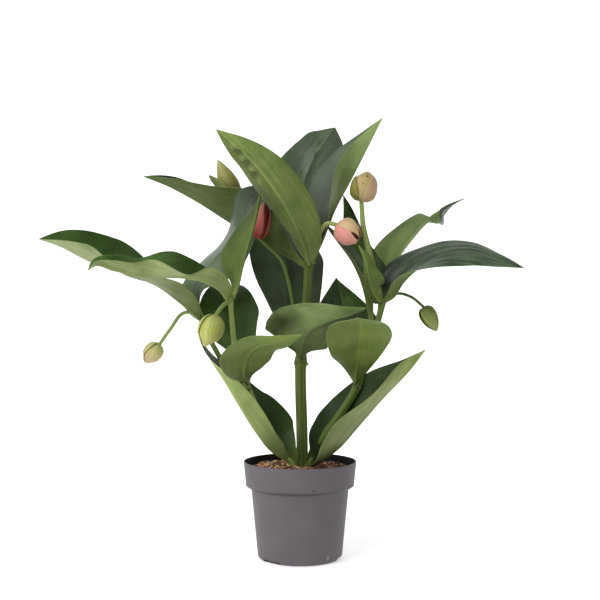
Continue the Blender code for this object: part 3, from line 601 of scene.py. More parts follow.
# %% Routes of the stems in millimetres
STEMS = {
    "main": {
        "points": [(3, 0, 48), (3, 0, 112), (2, 0, 171), (1, 0, 202), (1, 0, 244), (5, 0, 283),
                   (8, 0, 320), (10, 0, 351), (11, 0, 372)],
        "radii": (7.0, 6.8, 6.7, 6.5, 5.2, 4.9), "square": 0.10, "tone": 0.12,
        "nodes": [(243, 1.0), (365, 0.9)],
    },
    "right_shoot": {
        "points": [(5, -2, 100), (27, -10, 147), (49, -14, 178), (71, -14, 214), (84, -8, 256),
                   (93, -3, 283), (100, 0, 305), (103, 0, 322)],
        "radii": (5.8, 3.6), "square": 0.06, "tone": 0.3, "nodes": [(212, 0.8), (316, 0.9)],
    },
    "left_shoot": {
        "points": [(1, -2, 100), (-25, -12, 142), (-47, -16, 175), (-65, -16, 212), (-76, -14, 240),
                   (-81, -12, 267), (-84, -11, 295), (-86, -11, 322)],
        "radii": (5.0, 3.0), "square": 0.05, "tone": 0.85, "nodes": [(209, 0.7), (318, 0.7)],
    },
    "far_left_shoot": {
        "points": [(-47, -16, 175), (-71, 0, 206), (-90, 6, 232), (-110, 6, 266), (-123, 5, 296)],
        "radii": (3.6, 3.0), "square": 0.04, "tone": 0.5, "nodes": [(292, 0.5)],
    },
    "stalk_red": {
        "points": [(1, 0, 252), (-5, 4, 276), (-9, 4, 314), (-15, 2, 345), (-24, 0, 370),
                   (-40, 2, 386), (-52, 4, 397)],
        "radii": (2.4, 2.0), "tone": 0.3,
    },
    "stalk_pink": {
        "points": [(12, 1, 367), (16, 2, 384), (24, 1, 403), (34, -2, 415), (47, -4, 412.5)],
        "radii": (2.6, 2.8), "tone": 0.95,
    },
    "stalk_top_right": {
        "points": [(101, 0, 316), (95, 1, 345), (88, 0, 372), (84, -2, 388), (79, -3, 409),
                   (76, -4, 445)],
        "radii": (4.0, 4.4, 3.4, 2.7), "tone": 0.75,
    },
    "stalk_right": {
        "points": [(101, 1, 317), (113, 14, 325), (125, 18, 328), (139, 14, 324), (156, 8, 310)],
        "radii": (1.9, 1.8), "tone": 0.3,
    },
    "stalk_far_left": {
        "points": [(-121, 5, 293), (-132, 14, 303), (-144, 12, 304), (-162, 2, 283), (-175, -3, 264)],
        "radii": (2.2, 2.2), "tone": 0.8,
    },
    "stalk_left": {
        "points": [(-86, -11, 320), (-95, -24, 312), (-103, -33, 300)],
        "radii": (2.8, 2.6), "tone": 0.8,
    },
    "stalk_top_left": {
        "points": [(11, 1, 370), (-13, 45, 416), (-50, 85, 450), (-82, 100, 458)],
        "radii": (2.6, 2.6), "tone": 0.8,
    },
}
STEM_SIDES = 32
STEM_STEP = 1.6
CORNER_TURN = math.radians(-112)
NODE_REACH = 7.0
SCAR_REACH = 0.9
SCAR_DARK = 0.85

# %% Green bark
bark_skin, tree, shader = new_material(
    "green_bark_with_corky_edges", Roughness=0.56, IOR=1.45, Specular_IOR_Level=0.22
)
place = add(tree, "SeparateXYZ", {
    "Vector": add(tree, "Attribute", attribute_name="stem").outputs["Vector"],
})
age = add(tree, "Attribute", attribute_name="tone").outputs["Fac"]
scar = add(tree, "Attribute", attribute_name="scar").outputs["Fac"]
coords = add(tree, "TexCoord").outputs["Object"]
green = add(tree, "ValToRGB", {"Fac": age}, [
    (0.0, "#4E6029"), (0.35, "#627638"), (0.7, "#829754"), (1.0, "#A8B66C"),
])
# Fibres under the skin show as streaks a few centimetres long and half a millimetre wide.
lengthwise = add(tree, "Mapping", {"Vector": coords, "Scale": (1.0, 1.0, 0.05)})
streaks = add(tree, "TexNoise", {"Vector": lengthwise, "Scale": 900.0, "Detail": 4.0})
streak_tone = add(tree, "MapRange", {"Value": streaks}, span=(0.0, 1.0, 0.84, 1.16))
streaked = add(
    tree, "MixRGB", {"Fac": 1.0, "Color1": green, "Color2": streak_tone}, blend_type="MULTIPLY"
)
# Cork forms on the corners of the old stem only.
cork_line = add(tree, "MapRange", {"Value": place.outputs["Z"]}, span=(0.72, 1.0, 0.0, 0.8), **SMOOTH)
blotches = add(tree, "TexNoise", {"Vector": lengthwise, "Scale": 260.0, "Detail": 3.0})
cover = add(tree, "Math", {0: cork_line, 1: blotches}, operation="MULTIPLY")
cork = add(tree, "Math", {0: cover, 1: 1.7}, operation="MULTIPLY", use_clamp=True)
corked = add(tree, "MixRGB", {"Fac": cork, "Color1": streaked, "Color2": "#665530"})
scarred = add(tree, "MixRGB", {"Fac": scar, "Color1": corked, "Color2": "#4A3B26"})
relief = add(tree, "Bump", {"Height": streaks, "Strength": 0.35, "Distance": 0.0004})
wire(shader, {"Base Color": scarred, "Normal": relief})
print("material:", bark_skin.name)


# %% Sweep the stems
def stem_part(route):
    """Points, faces and notes of one swept stem."""
    steps = np.diff(np.array(route["points"], float), axis=0)
    length = float(np.sum(np.linalg.norm(steps, axis=1)))
    count = max(8, round(length / STEM_STEP))
    spine = along(route["points"], count)
    ahead, rightward, onward = frames(spine)
    share = np.linspace(0.0, 1.0, count)
    radius = np.interp(share, np.linspace(0.0, 1.0, len(route["radii"])), route["radii"])
    scar = np.zeros(count)
    for height, swell in route.get("nodes", ()):
        gap = np.abs(spine[:, 2] - height)
        ring = np.exp(-(gap / SCAR_REACH) ** 2)
        radius = radius + swell * np.exp(-(gap / NODE_REACH) ** 2) + 0.5 * swell * ring
        scar = np.maximum(scar, SCAR_DARK * ring)
    turns = np.arange(STEM_SIDES) * math.tau / STEM_SIDES
    corner = np.cos(4 * (turns - CORNER_TURN))
    square = route.get("square", 0.0)
    form = 1 + square * (corner - 0.6 * np.clip(-corner, 0, 1) ** 6)
    spread = radius[:, None] * form[None, :]
    rings = spine[:, None, :] + spread[..., None] * (
        np.cos(turns)[None, :, None] * rightward[:, None, :]
        + np.sin(turns)[None, :, None] * onward[:, None, :]
    )
    edge = np.clip(corner, 0, 1) * min(1.0, square / 0.1)
    marks = np.stack(np.broadcast_arrays(
        share[:, None] * length, turns[None, :], edge[None, :] + 0 * share[:, None]
    ), -1)
    return rings, marks, np.repeat(scar, STEM_SIDES), np.full(count * STEM_SIDES, route["tone"])


parts = []
for name, route in STEMS.items():
    rings, marks, scar, tone = stem_part(route)
    part = mesh_from_rows(name, rings, True, [bark_skin])
    mend(part.data, width=STEM_SIDES)
    note(part.data, "stem", marks.reshape(-1, 3))
    note(part.data, "scar", scar)
    note(part.data, "tone", tone)
    parts.append(part)
print("stems swept:", len(parts))

# %% [markdown]
# At each node sit small pointed scales and resting buds, a few millimetres long. They are
# stretched spheres, drawn in to a point at one end, and turned to lean out from the stem.

# %% Resting buds at the nodes
NUBS = [
    ((-5.5, -4, 240), (-0.8, -0.5, 0.6), 5.0), ((9.0, -3, 240), (0.9, -0.4, 0.5), 4.5),
    ((-4.0, -4, 250), (-0.5, -0.6, 1.0), 4.0), ((17.0, -4, 366), (0.9, -0.5, 0.7), 5.5),
    ((5.0, -6, 366), (-0.7, -0.7, 0.8), 4.5), ((15.0, -6, 372), (0.3, -0.8, 1.0), 5.0),
    ((-62.0, -21, 210), (0.6, -0.7, 0.5), 4.0), ((74.0, -18, 212), (0.6, -0.7, 0.5), 4.2),
    ((64.0, -17, 206), (-0.7, -0.6, 0.4), 4.0), ((-83.0, -16, 324), (0.4, -0.7, 0.8), 4.5),
    ((-89.0, -15, 322), (-0.6, -0.6, 0.8), 3.8), ((96.0, -4, 318), (-0.4, -0.8, 0.8), 5.0),
    ((104.0, -3, 316), (0.7, -0.6, 0.7), 4.5), ((101.0, -4, 324), (0.1, -0.6, 1.0), 4.5),
]
NUB_SLIM = 0.42
NUB_LONG = 0.62
NUB_TONE = 0.45
for k, (foot, way, size) in enumerate(NUBS):
    form = bmesh.new()
    bmesh.ops.create_uvsphere(form, u_segments=14, v_segments=10, radius=1.0)
    turn = Vector(way).to_track_quat("Z", "Y").to_matrix()
    for corner in form.verts:
        slim = NUB_SLIM * (1 - 0.45 * max(0.0, corner.co.z))
        local = Vector((corner.co.x * slim, corner.co.y * slim * 0.8, corner.co.z * NUB_LONG))
        corner.co = (turn @ (local * size) + Vector(foot)) * MM
    mesh = bpy.data.meshes.new(f"nub_{k}")
    form.to_mesh(mesh)
    axis = Vector(way).normalized()
    tips = [0.6 * max(0.0, (c.co / MM - Vector(foot)).dot(axis) / size) for c in mesh.vertices]
    form.free()
    mesh.shade_smooth()
    mesh.materials.append(bark_skin)
    note(mesh, "stem", [(0.0, 0.0, 0.0)] * len(mesh.vertices))
    note(mesh, "scar", tips)
    note(mesh, "tone", [NUB_TONE] * len(mesh.vertices))
    parts.append(put(f"nub_{k}", mesh))


def gather(name, pieces):
    """Joins mesh objects into the first of them, which takes the name."""
    with bpy.context.temp_override(
        active_object=pieces[0], object=pieces[0],
        selected_objects=pieces, selected_editable_objects=pieces,
    ):
        bpy.ops.object.join()
    pieces[0].name = name
    return pieces[0]


stems = gather("stem_and_shoots", parts)
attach(stems, "root")
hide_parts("stems")
print("stem faces:", len(stems.data.polygons))

# %% [markdown]
# A leaf of this plant is a stiff, folded blade with a long point. It could be modelled flat and
# bent afterwards, but the folds here are the look of the plant, so each leaf is lofted along its
# own midrib instead: at four stations the two halves get their direction round the midrib, in
# degrees, where 0 is to the right as seen from the front, 90 is away and 180 is left. A half may
# also roll up at its margin or wave. Rows of points across give both faces and a rounded margin,
# thick at the foot and along the midrib and thin at the edge.

# %% Leaf shapes in millimetres
STATIONS = (0.0, 0.35, 0.7, 1.0)
# Each half: its greatest width, the share of the length where that is, how late the blade widens
# up to there, its directions at the stations, and its tone at the foot and at the tip, which is
# partly the leaf's own colour and partly painted light and shade.
# Midribs are places picked in the photo, turned into millimetres. The numbers of the halves come
# from scratch programs that fitted them to the photo, apart from later changes.
LEAVES = {
    "leaf_top_front": {
        "midrib": [(11, -4, 363), (4, -20, 387), (-11, -40, 420), (-31, -57, 452), (-58, -72, 485),
                   (-98, -84, 519)],
        "left": (36, 0.58, 1.5, (150, 126, 120, 143), (0.65, 0.9)),
        "right": (44, 0.4, 0.8, (12, 38, 24, 12), (0.9, 1.45)),
        "under": "bright", "upper": "slate",
    },
    "leaf_top_back": {
        "midrib": [(8.5, 4, 370), (4, 28, 402), (1, 62, 447), (8, 86, 484), (20, 98, 512),
                   (34, 104, 533), (47, 104, 551)],
        "left": (58, 0.67, 1.3, (167, 191, 244, 214), (1.35, 2.0)),
        "right": (42, 0.91, 1.4, (4, 14, 54, 36), (2.2, 1.05)),
        "under": "bright", "upper": "grey", "turned": True,
    },
    "leaf_top_right": {
        "midrib": [(15.5, 1.5, 369), (29, 16, 397), (46, 22, 439), (64, 26, 472), (83, 26, 509),
                   (104, 22, 550)],
        "left": (50, 0.5, 1.8, (162, 155, 157, 141), (0.35, 1.5)),
        "right": (40, 0.46, 2.6, (283, 256, 219, 205), (0.4, 2.05)),
        "under": "muted", "upper": "grey", "turned": True,
    },
    "leaf_top_left": {
        "midrib": [(6, 1, 363), (-20, 28, 378), (-55.2, 55, 398.4), (-95.2, 84, 424.3),
                   (-132.6, 94, 448.6), (-171.1, 98, 469.9), (-208.6, 98, 485)],
        "left": (46, 0.62, 1.5, (32, 65, 63, 25), (1.0, 1.0)),
        "right": (56, 0.42, 1.5, (-29, -18, -53, -56), (0.65, 0.95)),
        "under": "dull", "upper": "slate",
    },
    "leaf_middle_back": {
        "midrib": [(0, 6, 249), (-4, 32, 282), (-10.1, 66, 320), (-17.2, 98, 362.5),
                   (-21.4, 122, 406.6), (-23.5, 136, 448.9)],
        "left": (55, 0.66, 1.1, (195, 212, 210, 191), (0.35, 2.2)),
        "right": (50, 0.6, 0.9, (-4, -23, -7, -12), (0.45, 1.3)),
        "under": "olive", "upper": "grey", "turned": True,
    },
    "leaf_middle_front": {
        "midrib": [(1, -5, 248), (5, -24, 266), (12, -46, 281), (25, -68, 290), (42, -88, 297),
                   (60, -106, 303), (75, -118, 311)],
        "left": (63, 0.325, 1.8, (187, 161, 175, 179), (0.35, 2.2)),
        "right": (28, 0.3, 1.9, (-31, -24, 14, 18), (0.4, 0.7)),
        "roll_left": (150, 140, 20, 0), "roll_start": 0.7, "lean": AWAY_AND_UP,
        "under": "muted", "upper": "deep",
    },
    "leaf_left_low_front": {
        "midrib": [(-64, -19.5, 218), (-66, -55, 233), (-62.2, -78, 251.8), (-47.5, -104, 265.5),
                   (-23.8, -126, 272.3), (2, -146, 281.3)],
        "left": (34, 0.46, 1.3, (184, 197, 189, 188), (0.35, 1.45)),
        "right": (29, 0.41, 1.6, (34, 10, 14, -13), (0.4, 1.15)),
        "lean": AWAY_AND_UP,
        "under": "olive", "upper": "deep",
    },
    "leaf_left_low_back": {
        "midrib": [(-66.5, -11.5, 217), (-74, 8, 249), (-88, 30, 285), (-94, 48, 316),
                   (-96, 70, 333), (-95, 96, 337)],
        "left": (41, 0.56, 2.6, (192, 201, 207, 205), (2.2, 2.2)),
        "right": (42, 0.55, 1.5, (-11, -13, -21, -15), (0.8, 1.95)),
        "under": "olive", "upper": "deep", "turned": True,
    },
    "leaf_right_low_front": {
        "midrib": [(68, -17, 218), (69, -46, 245), (69, -78, 269), (69, -108, 284),
                   (67, -142, 294), (64, -176, 299), (61, -206, 301)],
        "left": (40, 0.54, 0.9, (142, 202, 178, 186), (0.7, 1.0)),
        "right": (37, 0.49, 1.0, (11, -2, -4, -17), (0.8, 1.3)),
        "lean": AWAY_AND_UP,
        "under": "olive", "upper": "deep",
    },
    "leaf_right_low_back": {
        "midrib": [(70, -13, 217), (69, -11, 238), (65, 4, 262), (59, 20, 290), (53, 28, 320),
                   (46, 30, 348)],
        "left": (46, 0.6, 1.8, (189, 188, 182, 182), (0.35, 1.0)),
        "right": (41, 0.54, 1.8, (0, 11, 11, 48), (0.35, 1.95)),
        "under": "olive", "upper": "deep", "turned": True,
    },
    "leaf_far_left": {
        "midrib": [(-125, 4, 297), (-144, 10, 312), (-182, 20, 339), (-217, 26, 352),
                   (-269, 32, 370), (-308, 36, 389), (-334, 38, 398)],
        "left": (58, 0.62, 2.1, (87, 59, 43, 3), (0.4, 1.4)),
        "right": (59, 0.56, 0.8, (-12, -88, -67, -79), (0.55, 1.05)),
        "under": "pale", "upper": "bottle",
    },
    "leaf_far_left_inner": {
        "midrib": [(-122, 9, 295), (-128, 14, 312), (-130, 18, 332), (-118, 23, 355),
                   (-99, 26, 381), (-76, 27, 415), (-53, 27, 444), (-32, 25, 466)],
        "left": (46, 0.68, 0.8, (185, 117, 117, 230), (2.2, 0.35)),
        "right": (35, 0.42, 1.7, (-85, -30, -6, -5), (2.2, 0.9)),
        "under": "dull", "upper": "grey", "turned": True,
    },
    "leaf_left_drooping": {
        "midrib": [(-89, -13, 320), (-98, -23, 332), (-118, -36, 343), (-144, -50, 347),
                   (-178, -62, 347), (-221, -72, 355), (-241, -76, 360), (-249, -77, 355)],
        "left": (50, 0.6, 1.4, (57, 36, 63, 19), (0.65, 2.2)),
        "right": (31, 0.46, 0.8, (15, -69, -42, 17), (1.2, 0.8)),
        "wave_right": (8, 2.7, 0.656),
        "under": "pale", "upper": "bottle",
    },
    "leaf_left_upright": {
        "midrib": [(-83.2, -12, 323), (-76, -22, 337), (-71, -30, 357), (-63, -40, 386),
                   (-55, -46, 414), (-47, -50, 452)],
        "left": (35, 0.33, 1.5, (147, 147, 133, 97), (1.25, 0.6)),
        "right": (33, 0.43, 1.3, (86, 91, 87, 73), (1.3, 1.35)),
        "under": "dull", "upper": "deep",
    },
    "leaf_right_upper": {
        "midrib": [(105, 1, 321), (117, 20, 340), (123, 44, 368), (144, 54, 400), (166, 56, 425),
                   (188, 52, 440), (211, 44, 450)],
        "left": (39, 0.39, 2.2, (147, 145, 126, 84), (2.2, 0.8)),
        "right": (29, 0.3, 2.2, (74, 81, 77, 52), (2.1, 0.75)),
        "twist": (0.71, 0.83, -165),
        "under": "muted", "upper": "ash",
    },
    "leaf_far_right": {
        "midrib": [(103, 1, 315), (115, -4, 322), (126, -10, 340), (145, -16, 359),
                   (178, -22, 376), (210, -26, 379), (244, -28, 370), (273, -28, 359)],
        "left": (39, 0.44, 0.5, (178, 123, 117, 122), (0.35, 2.15)),
        "right": (34, 0.39, 1.1, (-161, -85, -37, -18), (0.75, 2.2)),
        "under": "dull", "upper": "ribbed", "turned": True,
    },
    "leaf_right_front": {
        "midrib": [(97, -4, 317), (89, -16, 331), (84, -22, 349), (81, -22, 369), (72, -18, 387)],
        "left": (10, 0.3, 0.8, (186, 140, 131, 155), (0.35, 2.2)),
        "right": (19, 0.36, 1.8, (64, 11, 41, 34), (1.1, 1.65)),
        "under": "dull", "upper": "deep",
    },
    "leaf_right_inner": {
        "midrib": [(90, 1, 283), (86, 8, 307), (78, 12, 340), (65, 16, 369), (45, 22, 397),
                   (29, 26, 420)],
        "left": (13, 0.3, 2.2, (-46, -66, -81, -68), (0.85, 0.75)),
        "right": (15, 0.42, 2.2, (0, 0, 0, 0), (2.2, 0.9)),
        "under": "dull", "upper": "grey", "turned": True,
    },
    "leaf_right_upright": {
        "midrib": [(98, 4, 320), (99, 25, 341), (92, 40, 374), (78, 50, 413), (66, 54, 439),
                   (56, 54, 455)],
        "left": (27, 0.6, 2.4, (179, 179, 175, 176), (2.2, 1.85)),
        "right": (29, 0.3, 2.4, (-16, -76, -95, -77), (2.2, 0.55)),
        "under": "dull", "upper": "deep", "turned": True,
    },
    "leaf_base_left": {
        "midrib": [(-2, -4, 116), (-17, -12, 121), (-35, -18, 134), (-53.1, -21, 157.6),
                   (-72.4, -21, 188.3), (-92.1, -12, 218.8), (-111.5, -7, 248),
                   (-125.7, -2, 275.4)],
        "left": (56, 0.44, 0.8, (-23, 39, 63, 91), (1.15, 0.7)),
        "right": (24, 0.51, 0.9, (-3, -17, -55, -125), (0.55, 1.9)),
        "under": "base", "upper": "deep",
    },
    "leaf_base_right": {
        "midrib": [(8, -4, 116), (22, -12, 119), (44, -20, 136), (75, -27, 171), (105, -30, 205),
                   (133, -29, 234), (153, -24, 259)],
        "left": (56, 0.3, 1.1, (-94, -120, -120, -187), (0.35, 1.5)),
        "right": (53, 0.4, 0.8, (204, 147, 154, 154), (0.3, 1.4)),
        "under": "base", "upper": "deep",
    },
}
print("leaves:", len(LEAVES))


# %% Sections of a blade
LENGTH_CELLS = 76
HALF_CELLS = 18
FINE_STEPS = 8
LEAF_FOOT = 3.5
TIP_REACH = 0.15
BOW = math.radians(16)


def half_width(share, greatest, widest, shoulder):
    """Distance from midrib to margin at a share of the leaf's length."""
    if share < widest:
        rise = math.sin(math.pi / 2 * (share / widest) ** shoulder)
        return LEAF_FOOT + (greatest - LEAF_FOOT) * rise
    rest = (share - widest) / (1 - widest)
    return max(TIP_REACH, greatest * (1 - rest ** 1.8) * (1 - 0.2 * rest))


def half_section(reach, chord, bow, roll, wave):
    """Points across one half of a blade, from the midrib out, in the plane across the midrib."""
    steps = HALF_CELLS * FINE_STEPS
    v = (np.arange(steps) + 0.5) / steps
    amount, start = roll
    turn = chord + bow * (v - 0.5) + amount * np.clip((v - start) / (1 - start), 0, 1)
    line = np.cumsum(np.stack([np.cos(turn), np.sin(turn)], 1), 0) * reach / steps
    line += wave * (v ** 2)[:, None] * np.stack([-np.sin(turn), np.cos(turn)], 1)
    return line[FINE_STEPS - 1::FINE_STEPS]


def eased(places):
    """A step from 0 to 1 that starts and ends softly."""
    held = np.clip(places, 0.0, 1.0)
    return held * held * (3 - 2 * held)


def blade_rows(leaf):
    """Rows of points across a blade from foot to tip, and each row's share of the length."""
    spine = along(leaf["midrib"], LENGTH_CELLS + 1)
    ahead, rightward, onward = frames(spine, leaf.get("lean", AWAY))
    shares = np.linspace(0.0, 1.0, LENGTH_CELLS + 1)
    first, last, turned_by = leaf.get("twist", (0.0, 1.0, 0.0))
    twist = math.radians(turned_by) * eased((shares - first) / (last - first))
    halves = []
    for side, sign in (("left", -1), ("right", 1)):
        greatest, widest, shoulder, angles, _ = leaf[side]
        chords = blended(STATIONS, np.radians(angles), shares) + twist
        rolls = blended(STATIONS, np.radians(leaf.get("roll_" + side, (0, 0, 0, 0))), shares)
        height, waves, phase = leaf.get("wave_" + side, (0.0, 1.0, 0.0))
        half = []
        for k, share in enumerate(shares):
            reach = half_width(share, greatest, widest, shoulder)
            wave = height * math.sin(math.tau * (waves * share + phase)) * math.sin(math.pi * share)
            roll = (rolls[k], leaf.get("roll_start", 0.5))
            flat = half_section(reach, chords[k], sign * BOW, roll, wave)
            half.append(spine[k] + flat[:, :1] * rightward[k] + flat[:, 1:] * onward[k])
        halves.append(np.array(half))
    left, right = halves
    return np.concatenate([left[:, ::-1], spine[:, None, :], right], 1), shares


# %% Two faces, a keel and a margin
BLADE = 0.9
KEEL = 1.5
KEEL_WIDTH = 1.9
FOOT_THICKNESS = 3.2
FOOT_LENGTH = 13.0
MARGIN_ROUND = 0.28
VEIN_SPACE = 0.34
PUCKER = 0.45
WAVER = 0.9
# The blade between the long veins stands higher on some leaves and is nearly flat on others.
PUCKERS = {
    "leaf_far_right": 1.1, "leaf_right_upper": 0.8, "leaf_far_left_inner": 0.3,
    "leaf_top_front": 0.25, "leaf_middle_front": 0.15, "leaf_left_low_front": 0.2,
    "leaf_right_low_front": 0.2,
}
# Dents and bumps where a blade was pressed in the bud: place along and across, radius, height.
DENTS = {
    "leaf_top_front": [(183, -3, 5, 2.2), (174, -6, 6, -3.4), (165, -7, 5, 3.2), (156, -10, 6, -3.6),
                       (147, -9, 5, 3.2), (138, -13, 6, -3.2), (128, -12, 6, 2.2)],
    "leaf_top_back": [(194, -10, 5, -1.8), (178, -3, 5, -1.8), (186, -7, 4, 1.0)],
    "leaf_middle_front": [(62, -45, 8, 4.0), (52, -26, 10, -3.0), (44, -37, 10, -3.6),
                          (37, -46, 5, 2.5), (48, -54, 5, 2.5), (44, -61, 5, -4.0),
                          (84, -40, 14, 1.5)],
}
DENT_SHADE = 0.12


def body_between(front, back, rim, name, materials):
    """A closed mesh from two faces of points and a rounded rim on each side."""
    left_rim = (front[:, :1] + back[:, :1]) / 2 + rim[0]
    right_rim = (front[:, -1:] + back[:, -1:]) / 2 + rim[1]
    rings = np.concatenate([front, right_rim, back[:, ::-1], left_rim], 1)
    made = mesh_from_rows(name, rings, True, materials)
    columns = front.shape[1]
    width = rings.shape[1]
    mend(made.data, width=width)
    made.data.shade_smooth()
    ring = np.full(width, 2)
    ring[:columns - 1] = 0
    ring[columns + 1:2 * columns] = 1
    slots = np.concatenate([np.tile(ring, len(front) - 1), [2, 2]])
    made.data.polygons.foreach_set("material_index", slots.astype(np.int32))
    return made


def ringed(values):
    """Notes for the points of body_between, from notes for one face's points."""
    return np.concatenate([values, values[:, -1:], values[:, ::-1], values[:, :1]], 1)


def outward(rows, reach):
    """Steps out of a surface at its left and its right margin."""
    return reach * unit(np.stack([rows[:, 0] - rows[:, 1], rows[:, -1] - rows[:, -2]]))[:, :, None, :]


def build_leaf(name, leaf, number):
    """A leaf's blade with a keel, puckers between its veins, dents and a rounded margin."""
    rows, shares = blade_rows(leaf)
    normal = unit(np.cross(np.gradient(rows, axis=1), np.gradient(rows, axis=0)))
    length = float(np.sum(np.linalg.norm(np.diff(rows[:, HALF_CELLS], axis=0), axis=1)))
    steps = np.linalg.norm(np.diff(rows, axis=1), axis=2)
    left = -np.cumsum(steps[:, HALF_CELLS - 1::-1], 1)[:, ::-1]
    right = np.cumsum(steps[:, HALF_CELLS:], 1)
    across = np.concatenate([left, 0 * left[:, :1], right], 1)
    v = np.abs(np.linspace(-1.0, 1.0, 2 * HALF_CELLS + 1))[None, :] + 0 * across
    place = shares[:, None] * length + 0 * across
    pale = -1 if leaf.get("turned") else 1
    fade = np.clip(shares * 5, 0, 1)[:, None] * np.clip((1 - shares) * 6, 0, 1)[:, None]
    rib = np.exp(-(across / KEEL_WIDTH) ** 2) * (1 - 0.75 * shares[:, None])
    foot = np.exp(-(place / FOOT_LENGTH) ** 2) * np.clip(1.15 - v, 0, 1)
    thickness = BLADE * (1 - 0.35 * v) + KEEL * rib + FOOT_THICKNESS * foot
    pucker = PUCKERS.get(name, PUCKER) * np.sin(math.pi * v / VEIN_SPACE) ** 2
    pucker = pucker * np.clip(1.1 - v, 0, 1)
    waver = np.array([
        [noise.noise(Vector((a / 34, b / 21, 7.3 * number))) for a, b in zip(*pair)]
        for pair in zip(place, across)
    ])
    lift = fade * (WAVER * waver * (0.3 + 0.7 * v) - pale * pucker) + pale * 0.6 * rib * KEEL
    pressed = 0 * lift
    for far, aside, radius, high in DENTS.get(name, ()):
        pressed = pressed + high * np.exp(-((place - far) ** 2 + (across - aside) ** 2) / radius ** 2)
    lift = lift + pressed
    middle = rows + lift[..., None] * normal
    front = middle + (thickness / 2)[..., None] * normal
    back = middle - (thickness / 2)[..., None] * normal
    out = outward(rows, MARGIN_ROUND)
    names = [UNDER[leaf["under"]], UPPER[leaf["upper"]], MARGIN]
    if leaf.get("turned"):
        names = [names[1], names[0], names[2]]
    made = body_between(front, back, out, "blade_of_" + name, names)
    note(made.data, "blade", ringed(np.stack([place, across, v], -1)).reshape(-1, 3))
    # Each half's tone runs from foot to tip, partly the leaf's own colour and partly painted light and
    # shade; dents are painted darker and bumps lighter, a painted shade and highlight.
    low, high = (np.where(across < 0, *pair) for pair in zip(leaf["left"][4], leaf["right"][4]))
    tone = (low + (high - low) * shares[:, None]) * np.clip(1 + DENT_SHADE * pressed, 0.4, 1.4)
    note(made.data, "tone", ringed(tone).ravel())
    note(made.data, "leaf", np.full(ringed(v).size, number / len(LEAVES)))
    return made


# %% [markdown]
# The upper side of the leaf has a thick waxy cuticle: dark green, smooth and glossy, with the
# long veins sunk in it. The underside has none: it is pale, satin, and its veins stand proud.
# Both are the same living blade, so one function makes the finish of a side from its tones, and
# reads the place on the blade that each point carries: how far along, how far across, and the
# share of the way from midrib to margin, on which the long veins lie at even steps.

# %% Living leaf surfaces
VEIN_HALF = 0.03
VEIN_SHARE = 0.16
MIDRIB_SHARE = 0.26
PALEST = 2.2
PALEST_AT_BACK = 1.0
CROSS_SPACE = 5.5


